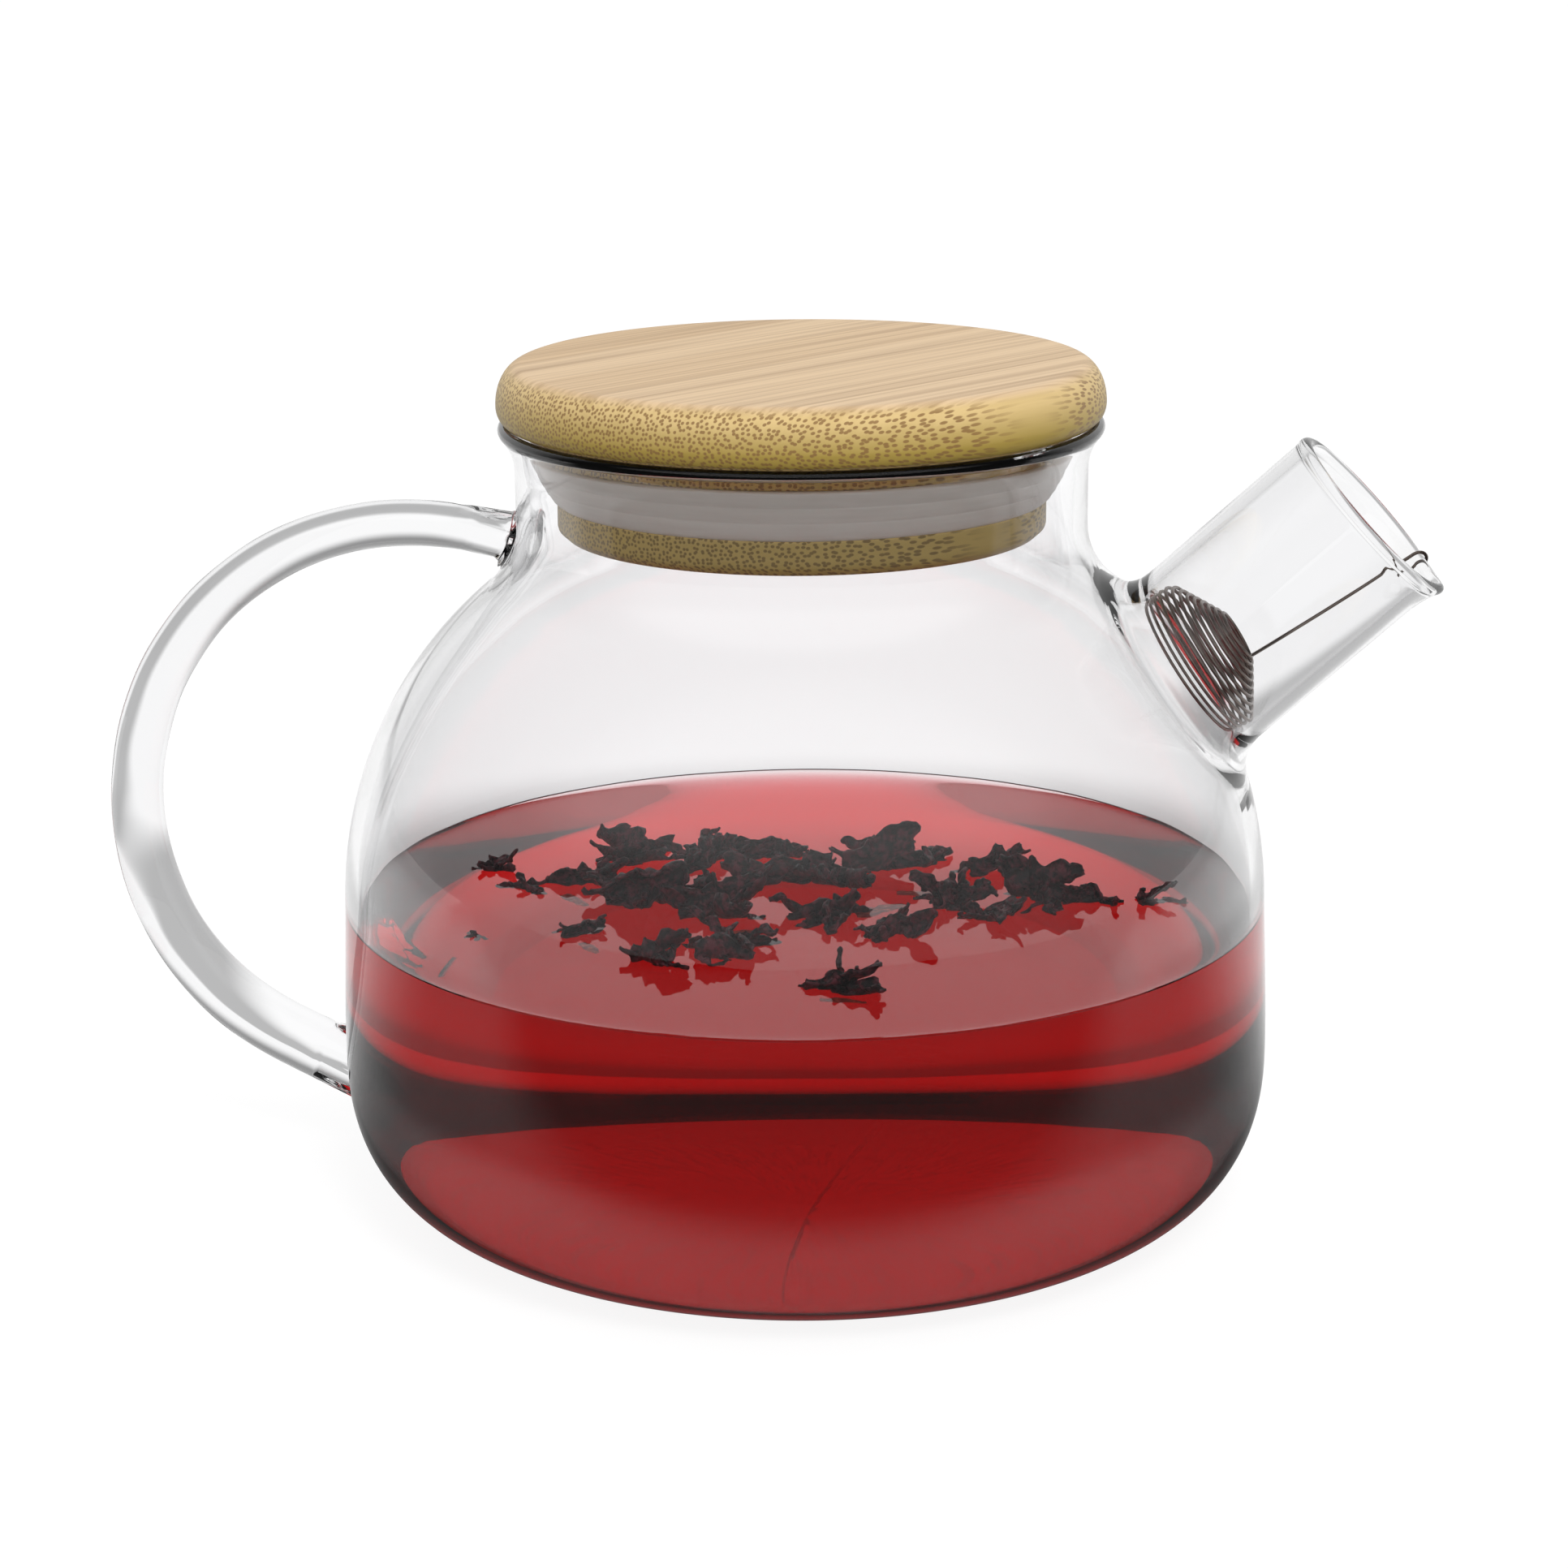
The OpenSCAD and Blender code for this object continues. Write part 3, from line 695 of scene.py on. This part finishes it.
def petal_material(name, dark, light):
    mat, tree, node = shader(name, Roughness=0.5, Specular_IOR_Level=0.4)
    veins = noise_of(tree, place_in_object(tree, (700, 700, 700)), 4.0, 0.65)
    link(tree, mixed(tree, step(tree, veins, 0.42, 0.68), dark, light), node.inputs["Base Color"])
    bump(tree, node, veins, 0.6, 0.0006)
    return mat


# ---------------------------------------------------------------- the pieces
MENISCUS = 0.5
MENISCUS_W = 0.8
TEA_SINK = 0.3


def tea(material):
    """Tea up to its level. Its skin lies a little way into the glass, so that light goes straight from
    one to the other, and its surface climbs the wall in a meniscus."""
    base_z = BASE_T - TEA_SINK
    skin = wall(GLASS_T - TEA_SINK, base_z, 2)
    below = skin[skin[:, 1] < TEA_Z - MENISCUS]
    wall_r = float(np.interp(TEA_Z + MENISCUS, skin[:, 1], skin[:, 0]))
    away = np.concatenate([np.linspace(0, 6, 25), np.linspace(6, wall_r, 40)[1:]])
    top = np.column_stack([wall_r - away, TEA_Z + MENISCUS * np.exp(-away / MENISCUS_W)])
    base = line((0, base_z), (BASE_FLAT_R, base_z), 14)
    side = line(below[-1], (wall_r, top[0][1]), 3)
    verts, faces = lathe(joined(base, below, side, top))
    return outward(new_object("tea_liquid", verts, faces, material))


glass = glass_material()
pot = glass_pot(glass)
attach(pot, "pot")
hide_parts("glass_body", "spout", "spout_weld", "handle", "upper_weld", "lower_weld")

liquid = tea(tea_material())
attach(liquid, "pot")
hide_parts("tea")

# Lid, from the frame's boxes: cap, plug and ring.
CAP_LOW, CAP_HIGH = (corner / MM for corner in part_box("lid_cap"))
PLUG_LOW, PLUG_HIGH = (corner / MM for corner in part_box("lid_plug"))
SEAL_LOW, SEAL_HIGH = (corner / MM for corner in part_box("seal_ring"))
CAP_ROUND_W = 3.6
CAP_ROUND_H = 5.6
CAP_UNDER_W = 1.7
PLUG_STEP = 2.0
PLUG_CHAMFER = 1.1
PLUG_SOFT = 0.25
GROOVE_DEPTH = 2.0
SEAL_LIPS = 3
SEAL_LIP_H = 0.16
SEAL_FOOT = 0.35


def quarter(x0, z0, x1, z1, turn_first, steps=14):
    """A quarter of an ellipse from one point to another; turn_first says which way it leaves the first."""
    a = np.radians(np.linspace(0, 90, steps + 1))
    if turn_first == "out":
        return np.column_stack([x0 + (x1 - x0) * np.sin(a), z0 + (z1 - z0) * (1 - np.cos(a))])
    return np.column_stack([x0 + (x1 - x0) * (1 - np.cos(a)), z0 + (z1 - z0) * np.sin(a)])


def lid_cap(material):
    r = CAP_HIGH.x
    low = CAP_LOW.z
    top = CAP_HIGH.z
    waist = top - CAP_ROUND_H
    profile = joined(line((0, low), (r - CAP_UNDER_W, low), 12),
                     quarter(r - CAP_UNDER_W, low, r, waist, "out"),
                     quarter(r, waist, r - CAP_ROUND_W, top, "up", 20),
                     line((r - CAP_ROUND_W, top), (0, top), 16))
    verts, faces = lathe(profile, 192)
    return outward(new_object("bamboo_cap", verts, faces, material))


def lid_plug(material):
    """The plug with its chamfered foot and the groove that holds the ring."""
    top_r = PLUG_HIGH.x
    r = top_r - PLUG_STEP
    low = PLUG_LOW.z
    groove = SEAL_LOW.z
    groove_r = r - GROOVE_DEPTH
    seal_top = SEAL_HIGH.z
    soft = PLUG_SOFT
    profile = joined(line((0, low), (r - PLUG_CHAMFER - soft, low), 10),
                     np.array([(r - PLUG_CHAMFER, low + 0.05), (r - 0.1, low + PLUG_CHAMFER - 0.1),
                               (r, low + PLUG_CHAMFER + soft)]),
                     line((r, low + PLUG_CHAMFER + soft), (r, groove - soft), 4),
                     quarter(r, groove - soft, r - soft, groove, "up", 4),
                     line((r - soft, groove), (groove_r, groove), 2),
                     line((groove_r, groove), (groove_r, seal_top), 2),
                     line((groove_r, seal_top), (top_r - soft, seal_top), 2),
                     quarter(top_r - soft, seal_top, top_r, seal_top + soft, "out", 4),
                     line((top_r, seal_top + soft), (top_r, PLUG_HIGH.z), 2),
                     line((top_r, PLUG_HIGH.z), (0, PLUG_HIGH.z), 6))
    verts, faces = lathe(profile, 160)
    return outward(new_object("bamboo_plug", verts, faces, material))


def seal(material):
    """Silicone ring: a skirt that widens upwards to the neck, with faint lips."""
    out_r = SEAL_HIGH.x
    low = SEAL_LOW.z
    top = SEAL_HIGH.z
    plug_r = PLUG_HIGH.x - PLUG_STEP
    in_r = plug_r - GROOVE_DEPTH
    foot_r = plug_r + SEAL_FOOT
    s = np.linspace(0, 1, 61)
    lips = SEAL_LIP_H * np.abs(np.sin(np.pi * SEAL_LIPS * s)) ** 0.6
    skirt = np.column_stack([foot_r + (out_r - 0.2 - foot_r) * s ** 0.9 + lips,
                             low + 0.25 + (top - low - 0.5) * s])
    profile = joined(line((in_r, low), (foot_r - 0.3, low), 2), skirt,
                     line((out_r - 0.5, top), (in_r, top), 3), line((in_r, top), (in_r, low), 3))
    verts, faces = lathe(profile, 192)
    return outward(new_object("silicone_ring", verts, faces, material))


# Filter, in the spout's own frame: x towards the spout's lower side, z along it.
WIRE_R = 0.25
WIRE_SIDES = 10
COIL_SLACK = 1.0
WIDE_TURNS = 5
WIDE_L = 4.9
CONE_TURNS = 8
CONE_L = 4.5
COIL_TIP_R = 3.4
COIL_LEAN = 9.5
COIL_SINK = 0.9
HOOK_A = 35.0
HOOK_GAP = 0.12
HOOK_L = 6.2
HOOK_KINK = 0.6
HOOK_TIP = 1.8
KINK_RISE = 1.6


def from_spout(points):
    """Points of the spout's frame in the pot's frame."""
    points = np.asarray(points)
    return SPOUT_ROOT + np.outer(points[:, 0], SPOUT_DOWN) + np.outer(points[:, 1], ACROSS) \
        + np.outer(points[:, 2], SPOUT_AXIS)


def rounded_path(points):
    """Cuts the corners of a path twice. It keeps its ends."""
    for _ in range(2):
        a = points[:-1]
        b = points[1:]
        cut = np.empty((2 * len(a), 3))
        cut[0::2] = 0.75 * a + 0.25 * b
        cut[1::2] = 0.25 * a + 0.75 * b
        points = np.concatenate([points[:1], cut[1:-1], points[-1:]])
    return points


def filter_spring(material):
    """The coil, its cone, the stem and the hook, as one wire."""
    coil_r = BORE_R - COIL_SLACK
    lean = math.radians(COIL_LEAN)
    shift = -0.5 * WIDE_L * math.sin(lean)
    turn = np.linspace(0, WIDE_TURNS + CONE_TURNS, 40 * (WIDE_TURNS + CONE_TURNS) + 1)
    closing = np.clip((turn - WIDE_TURNS) / CONE_TURNS, 0, 1)
    radius = coil_r + (COIL_TIP_R - coil_r) * closing
    height = np.where(turn < WIDE_TURNS, WIDE_L * turn / WIDE_TURNS, WIDE_L + CONE_L * closing)
    x = radius * np.cos(2 * np.pi * turn)
    coil = np.column_stack([shift + x * math.cos(lean) + height * math.sin(lean),
                            radius * np.sin(2 * np.pi * turn),
                            -COIL_SINK - x * math.sin(lean) + height * math.cos(lean)])
    hook_r = MOUTH_R + WIRE_R + HOOK_GAP
    start = SPOUT_L - HOOK_L
    bend = np.concatenate([
        np.array([(coil_r, start), (coil_r - HOOK_KINK / 3, start + KINK_RISE / 2),
                  (coil_r - HOOK_KINK, start + KINK_RISE),
                  (MOUTH_X - hook_r - HOOK_KINK / 2, MOUTH_Z - KINK_RISE)]),
        arc(MOUTH_X, MOUTH_Z, hook_r, 180, 0, 14),
        np.array([(MOUTH_X + hook_r + WIRE_R / 3, MOUTH_Z - HOOK_TIP / 2),
                  (MOUTH_X + hook_r + WIRE_R, MOUTH_Z - HOOK_TIP)])])
    way = math.radians(HOOK_A)
    hook = np.column_stack([bend[:, 0] * math.cos(way), bend[:, 0] * math.sin(way), bend[:, 1]])
    path = np.concatenate([from_spout(coil), rounded_path(from_spout(np.concatenate([coil[-1:], hook])))[1:]])
    ring_list = rings(path, np.full(len(path), WIRE_R), WIRE_SIDES, np.array([0.0, 1.0, 0.3]))
    faces = tube_faces(len(path), WIRE_SIDES)
    last = (len(path) - 1) * WIRE_SIDES
    faces += [tuple(range(WIRE_SIDES - 1, -1, -1)), tuple(range(last, last + WIRE_SIDES))]
    return outward(new_object("spring_filter", ring_list.reshape(-1, 3), faces, material))


# Petals that float on the tea, as the camera sees them: [x, y, length, direction, pieces], in millimetres
# and degrees.
PETALS = [
    (-46, 12, 7, 0, 2), (-41, 2, 7, -70, 2), (-31, 5, 9, -40, 4), (-23, -5, 13, 0, 4), (-25, 14, 11, 20, 4),
    (-31, -19, 7, 40, 3), (-15, 14, 10, 60, 6), (-5, 18, 10, 10, 4), (-2, 5, 13, 0, 5), (6, 2, 8, 40, 4),
    (-12, -11, 13, 0, 6), (-10, -25, 13, 10, 4), (-20, -33, 8, -20, 3), (-11, -32, 8, 10, 2),
    (3, -13, 11, 0, 4),
    (13, -20, 9, 20, 4), (12, 11, 12, 10, 6), (19, 14, 7, 60, 3), (29, 9, 10, 20, 1), (22, -7, 9, 60, 5),
    (27, -13, 10, 0, 3), (35, -5, 11, -10, 4), (43, -7, 7, 0, 2), (51, -6, 6, 10, 2), (5, -43, 10, 0, 3),
    (-46, -20, 3, -60, 1)
]
# Paler pieces that lie just under the surface. Their bright red is partly the petals' own colour and partly
# painted light shining through them.
SUNK_PETALS = [(-33, -3, 7, -50, 1), (-30, -25, 5, -60, 1), (11, -9, 8, 20, 1), (17, -1, 7, 0, 1),
               (5, -47, 6, 0, 1), (24, 1, 5, 60, 1), (-8, -19, 7, 10, 1)]


LOBE_ALONG = 25
LOBE_ACROSS = 9
LOBE_HALF_T = 0.2


def lobe(draw, length, width, roughness, curl):
    """One dried petal as a closed sheet from its base to its pointed tip: arched along, rolled across,
    twisted, and crumpled all over."""
    along = np.linspace(0, 1, LOBE_ALONG)
    across = np.linspace(-1, 1, LOBE_ACROSS)
    seed = draw.uniform(-50, 50, 3)
    roll = draw.uniform(0.8, 1.9) * curl
    arch = draw.uniform(-0.9, 1.6) * curl
    twist = draw.uniform(-1.2, 1.2) * curl
    sway = draw.uniform(-0.8, 0.8)
    grid = np.zeros((len(along), len(across), 3))
    for i, u in enumerate(along):
        ragged = 0.8 + 0.5 * noise.noise(Vector((u * 4.5 + seed[0], seed[1], 0)))
        half = max(0.5 * width * math.sin(math.pi * (0.1 + 0.84 * u) ** 0.85) ** 0.6 * ragged, 0.2)
        lift = 0.35 * arch * length * (1 - math.cos(1.6 * u)) / 1.6
        side = 0.35 * sway * length * (1 - math.cos(1.8 * u)) / 1.8
        for j, t in enumerate(across):
            y = half * math.sin(t * roll) / math.sin(min(roll, 1.5))
            z = half * (1 - math.cos(t * roll))
            lean = twist * u
            p = Vector((length * (u - 0.5), side + y * math.cos(lean) - z * math.sin(lean),
                        lift + y * math.sin(lean) + z * math.cos(lean)))
            big = noise.noise_vector(p * 0.4 + Vector(seed)) * 1.3
            small = noise.noise_vector(p * 1.3 + Vector(seed)) * 0.5
            grid[i, j] = p + (big + small) * roughness
    normal = np.cross(np.gradient(grid, axis=0), np.gradient(grid, axis=1))
    normal /= np.maximum(np.linalg.norm(normal, axis=2, keepdims=True), 1e-9)
    half = LOBE_HALF_T * normal
    nu, nv = grid.shape[:2]
    verts = np.concatenate([(grid + half).reshape(-1, 3), (grid - half).reshape(-1, 3)])
    faces = []
    under = nu * nv
    for i in range(nu - 1):
        for j in range(nv - 1):
            a = i * nv + j
            faces.append((a, a + nv, a + nv + 1, a + 1))
            faces.append((under + a, under + a + 1, under + a + nv + 1, under + a + nv))
    border = [i * nv for i in range(nu)] + [(nu - 1) * nv + j for j in range(1, nv)] \
        + [i * nv + nv - 1 for i in range(nu - 2, -1, -1)] + list(range(nv - 2, 0, -1))
    for a, b in zip(border, border[1:] + border[:1]):
        faces.append((a, under + a, under + b, b))
    return verts, faces


FLOAT_OUT = 0.42


def scattered(name, rows, material, sunk, seed):
    """Petals as clusters of lobes that spread from a common base and float half in the tea, or as flat
    pieces that lie under its surface."""
    draw = np.random.default_rng(seed)
    verts = []
    faces = []
    count = 0
    for x, y, length, turn, pieces in rows:
        for k in range(pieces if sunk else pieces + 2):
            size = length if k == 0 else length * draw.uniform(0.55, 0.85)
            thin = k % 4 == 3
            width = size * (draw.uniform(0.12, 0.2) if thin else draw.uniform(0.34, 0.52))
            points, quads = lobe(draw, size, width, 0.3 if sunk else 0.9, 0.3 if sunk else 1.0)
            roll = draw.uniform(-12, 12) if sunk else draw.uniform(-80, 80)
            tilt = draw.uniform(-3, 3) if sunk else draw.uniform(-24, 8)
            spread = 0.0 if k == 0 else draw.uniform(-80, 80) + 180 * (k % 2)
            heading = math.radians(turn + spread)
            spin = Matrix.Rotation(heading, 3, "Z") @ Matrix.Rotation(math.radians(tilt), 3, "Y") \
                @ Matrix.Rotation(math.radians(roll), 3, "X")
            points = points @ np.array(spin).T
            level = TEA_Z - points[:, 2].max() - 0.8 if sunk else \
                TEA_Z - points[:, 2].min() - draw.uniform(0.6, 1.6)
            out = 0.0 if k == 0 else FLOAT_OUT * size
            points = points + np.array([x + out * math.cos(heading), y + out * math.sin(heading), level])
            points = points @ np.array(Matrix.Rotation(VIEW_TURN, 3, "Z")).T
            verts.append(points)
            faces += [tuple(count + i for i in q) for q in quads]
            count += len(points)
    return outward(new_object(name, np.concatenate(verts), faces, material))


# The fourth colour of each, for the edge's foot, is darker partly for the wood's tint and partly as painted
# shade.
bamboo = bamboo_material("bamboo", (0.71, 0.51, 0.3), (0.63, 0.43, 0.23), (0.69, 0.5, 0.2), (0.4, 0.28, 0.05),
                         (0.25, 0.13, 0.04), 0.85)
# Painted light: the plug's bamboo is a lighter copy of the cap's, so that the plug inside the glass neck looks
# lit. Its foot colour is painted shade, as on the cap.
plug_bamboo_painted_light = bamboo_material("bamboo_plug", (0.82, 0.63, 0.3), (0.74, 0.55, 0.26), (0.84, 0.62, 0.22),
                              (0.6, 0.42, 0.12), (0.22, 0.13, 0.04), 0.8)

cap = lid_cap(bamboo)
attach(cap, "lid")
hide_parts("lid_cap")

plug = lid_plug(plug_bamboo_painted_light)
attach(plug, "lid")
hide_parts("lid_plug")

ring = seal(silicone_material())
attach(ring, "lid")
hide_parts("seal_ring")

spring = filter_spring(steel_material())
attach(spring, "filter")
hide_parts("filter_spring")

dark_petal = petal_material("dried_petal", (0.012, 0.003, 0.005), (0.15, 0.022, 0.036))
# Painted backlight: the sunk pieces' bright red is partly light shining through them, put into their colour.
sunk_petal_painted_backlight = petal_material("sunk_petal_painted_backlight", (0.35, 0.03, 0.01), (0.75, 0.12, 0.04))
floating = scattered("floating_petals", PETALS, dark_petal, False, 7)
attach(floating, "pot")
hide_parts("hibiscus_petals")
sunk = scattered("sunk_petals", SUNK_PETALS, sunk_petal_painted_backlight, True, 11)
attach(sunk, "pot")


# ---------------------------------------------------------------- camera, floor and light
CAMERA_AT = (0.0, -480.0, 196.9)
CAMERA_PITCH = math.radians(15.85)
CAMERA_YAW = math.radians(-0.34)
CAMERA_ROLL = math.radians(-0.5)
FOCAL_PX = 4233.0
FRAME_PX = 1932.0
SENSOR = 36.0

FLOOR_HALF = 6.0
FLOOR_GLOW = 0.85
FLOOR_WHITE = 1.05
# Painted shadows on the floor, which glass shows: under the pot, and in a ring round it.
UNDER_POT_SHADOW = 0.52
POT_SHADOW = 0.5
UNLIT_FLOOR = 0.2
DARK_ROOM = 0.1
SOFT_EDGE = 0.7
WORLD_LIGHT = 0.9
ROOM_SEEN = 0.8
BEHIND = (-math.sin(VIEW_TURN), math.cos(VIEW_TURN), 0)
BESIDE = (math.cos(VIEW_TURN), math.sin(VIEW_TURN), 0)


def camera():
    """The photograph's camera: 48 cm from the pot's axis and a little above the lid. The spout is turned
    towards it by VIEW_TURN."""
    place = np.array(CAMERA_AT) * MM
    cos_yaw, sin_yaw = math.cos(CAMERA_YAW), math.sin(CAMERA_YAW)
    cos_pitch, sin_pitch = math.cos(CAMERA_PITCH), math.sin(CAMERA_PITCH)
    cos_roll, sin_roll = math.cos(CAMERA_ROLL), math.sin(CAMERA_ROLL)
    ahead = np.array([sin_yaw * cos_pitch, cos_yaw * cos_pitch, -sin_pitch])
    right = np.array([cos_yaw, -sin_yaw, 0.0])
    up = np.cross(right, ahead)
    axes = np.column_stack([cos_roll * right + sin_roll * up, cos_roll * up - sin_roll * right, -ahead, place])
    data = bpy.data.cameras.new("camera")
    data.sensor_width = SENSOR
    data.lens = FOCAL_PX / FRAME_PX * SENSOR
    data.clip_start = 0.01
    data.clip_end = 100.0
    thing = bpy.data.objects.new("camera", data)
    bpy.context.scene.collection.objects.link(thing)
    thing.matrix_world = Matrix.Rotation(VIEW_TURN, 4, "Z") @ Matrix((*axes.tolist(), (0, 0, 0, 1)))
    bpy.context.scene.camera = thing


def ray_kinds(tree):
    """Three values of 0 or 1: for a camera ray, for a ray that shows the background, which comes from the
    camera or from there through glass or a mirror, and for one that comes straight from a reflection.
    A ray that has left a matt surface shows nothing: it brings that surface its light."""
    path = tree.nodes.new("ShaderNodeLightPath")
    camera_ray = path.outputs["Is Camera Ray"]
    glossy = path.outputs["Is Glossy Ray"]
    through = path.outputs["Is Transmission Ray"]
    matt = maths(tree, "MINIMUM", path.outputs["Diffuse Depth"], 1.0)
    clear = maths(tree, "MULTIPLY", maths(tree, "MAXIMUM", glossy, through), maths(tree, "SUBTRACT", 1.0, matt))
    mirror = maths(tree, "MULTIPLY", clear, maths(tree, "SUBTRACT", 1.0, through))
    return camera_ray, maths(tree, "MAXIMUM", camera_ray, clear), mirror


def by_reflections(tree, none, once):
    """For a ray that leaves glass: none where it was only refracted, once where it was reflected on the way,
    and at least SOFT_EDGE where it was reflected more often."""
    depth = tree.nodes.new("ShaderNodeLightPath").outputs["Glossy Depth"]
    more = maths(tree, "MAXIMUM", once, SOFT_EDGE)
    reflected = mixed(tree, maths(tree, "GREATER_THAN", depth, 1.5), once, more)
    return mixed(tree, maths(tree, "LESS_THAN", depth, 0.5), reflected, none)


def floor():
    """White where the camera sees it, apart from the pot's shadow. Glass that is seen through shows it with a
    painted shadow under the pot and a painted shadow ring round it. Reflections show it dark in front of the
    pot, where the studio is unlit."""
    half = FLOOR_HALF
    mesh = bpy.data.meshes.new("floor")
    mesh.from_pydata([(-half, -half, 0), (half, -half, 0), (half, half, 0), (-half, half, 0)], [],
                     [(0, 1, 2, 3)])
    thing = bpy.data.objects.new("floor", mesh)
    bpy.context.scene.collection.objects.link(thing)
    mat = bpy.data.materials.new("floor")
    mat.use_nodes = True
    tree = mat.node_tree
    tree.nodes.remove(tree.nodes["Principled BSDF"])
    camera_ray, seen, mirror = ray_kinds(tree)
    place = tree.nodes.new("ShaderNodeTexCoord").outputs["Object"]
    length = tree.nodes.new("ShaderNodeVectorMath")
    length.operation = "LENGTH"
    link(tree, place, length.inputs[0])
    from_axis = length.outputs["Value"]
    away = dot(tree, place, BEHIND)
    mirrored = step(tree, away, -0.02, 0.1, DARK_ROOM, 1.0)
    # Painted shadows, shown through glass: under the pot, and in a ring round it.
    below = step(tree, from_axis, 0.05, 0.085, UNDER_POT_SHADOW, 1.0)
    shadow = maths(tree, "MAXIMUM", step(tree, from_axis, 0.1, 0.125, 1.0, POT_SHADOW),
                   step(tree, from_axis, 0.19, 0.25, POT_SHADOW, 1.0))
    plain = maths(tree, "MULTIPLY", below, shadow)
    aside = step(tree, maths(tree, "ABSOLUTE", dot(tree, place, BESIDE)), 0.3, 1.0, 1.0, 0.25)
    unlit = maths(tree, "MULTIPLY", step(tree, away, -0.11, -0.06, UNLIT_FLOOR, 1.0), aside)
    through = by_reflections(tree, plain, maths(tree, "MULTIPLY", plain, unlit))
    level = mixed(tree, mirror, through, mirrored)
    level = maths(tree, "MAXIMUM", level, maths(tree, "MULTIPLY", camera_ray, FLOOR_WHITE))
    diffuse = tree.nodes.new("ShaderNodeBsdfDiffuse")
    link(tree, mixed(tree, seen, (0.5, 0.5, 0.5), (1.0, 1.0, 1.0)), diffuse.inputs["Color"])
    glow = tree.nodes.new("ShaderNodeEmission")
    link(tree, level, glow.inputs["Strength"])
    glow_share = maths(tree, "SUBTRACT", seen, maths(tree, "MULTIPLY", camera_ray, 1 - FLOOR_GLOW))
    mix = tree.nodes.new("ShaderNodeMixShader")
    link(tree, glow_share, mix.inputs[0])
    link(tree, diffuse.outputs[0], mix.inputs[1])
    link(tree, glow.outputs[0], mix.inputs[2])
    link(tree, mix.outputs[0], tree.nodes["Material Output"].inputs["Surface"])
    mesh.materials.append(mat)


def world():
    """White where the camera sees past the object. Glass that is seen through shows white low down and a
    darker ceiling. Reflections show a white backdrop behind the pot, a darker room elsewhere and a card
    above the front, which draw the edges of glass and metal."""
    scene_world = bpy.data.worlds.new("world")
    bpy.context.scene.world = scene_world
    scene_world.use_nodes = True
    tree = scene_world.node_tree
    tree.nodes.clear()
    camera_ray, seen_ray, mirror = ray_kinds(tree)
    ray = tree.nodes.new("ShaderNodeTexCoord").outputs["Generated"]
    up = xyz(tree, ray)["Z"]
    away = dot(tree, ray, BEHIND)
    card = maths(tree, "MULTIPLY", step(tree, up, 0.3, 0.55), step(tree, away, 0.0, -0.4, 0.0, 0.9))
    mirrored = maths(tree, "MAXIMUM", step(tree, away, 0.1, 0.6, DARK_ROOM, 1.0), card)
    back = step(tree, away, 0.3, 1.0, 0.12, 1.0)
    front = step(tree, away, 0.0, -0.6, 0.0, 0.8)
    ceiling = step(tree, up, 0.5, 0.95, 1.0, 0.5)
    once = maths(tree, "MULTIPLY", maths(tree, "ADD", back, front), ceiling)
    plain = step(tree, up, 0.0, 0.35, 1 / ROOM_SEEN, 0.35)
    through = by_reflections(tree, plain, once)
    level = maths(tree, "MULTIPLY", mixed(tree, mirror, through, mirrored), ROOM_SEEN)
    lit = tree.nodes.new("ShaderNodeBackground")
    lit.inputs["Strength"].default_value = WORLD_LIGHT
    above = step(tree, up, -0.2, 0.8)
    link(tree, mixed(tree, above, (0.6, 0.6, 0.6), (1.0, 1.0, 1.0)), lit.inputs["Color"])
    seen = tree.nodes.new("ShaderNodeBackground")
    seen.inputs["Color"].default_value = (1, 1, 1, 1)
    link(tree, maths(tree, "MAXIMUM", level, camera_ray), seen.inputs["Strength"])
    mix = tree.nodes.new("ShaderNodeMixShader")
    link(tree, seen_ray, mix.inputs[0])
    link(tree, lit.outputs[0], mix.inputs[1])
    link(tree, seen.outputs[0], mix.inputs[2])
    link(tree, mix.outputs[0], tree.nodes.new("ShaderNodeOutputWorld").inputs["Surface"])


def lamp(name, place, target, size, watts):
    data = bpy.data.lights.new(name, "AREA")
    data.shape = "DISK"
    data.size = size
    data.energy = watts
    thing = bpy.data.objects.new(name, data)
    bpy.context.scene.collection.objects.link(thing)
    thing.location = place
    thing.rotation_euler = (Vector(target) - Vector(place)).to_track_quat("-Z", "Y").to_euler()
    thing.visible_glossy = False
    thing.visible_transmission = False


camera()
floor()
world()
lamp("key", (0.35, -0.75, 0.95), (0, 0, 0.06), 0.4, 6.5)

view = bpy.context.scene.view_settings
view.view_transform = "Standard"
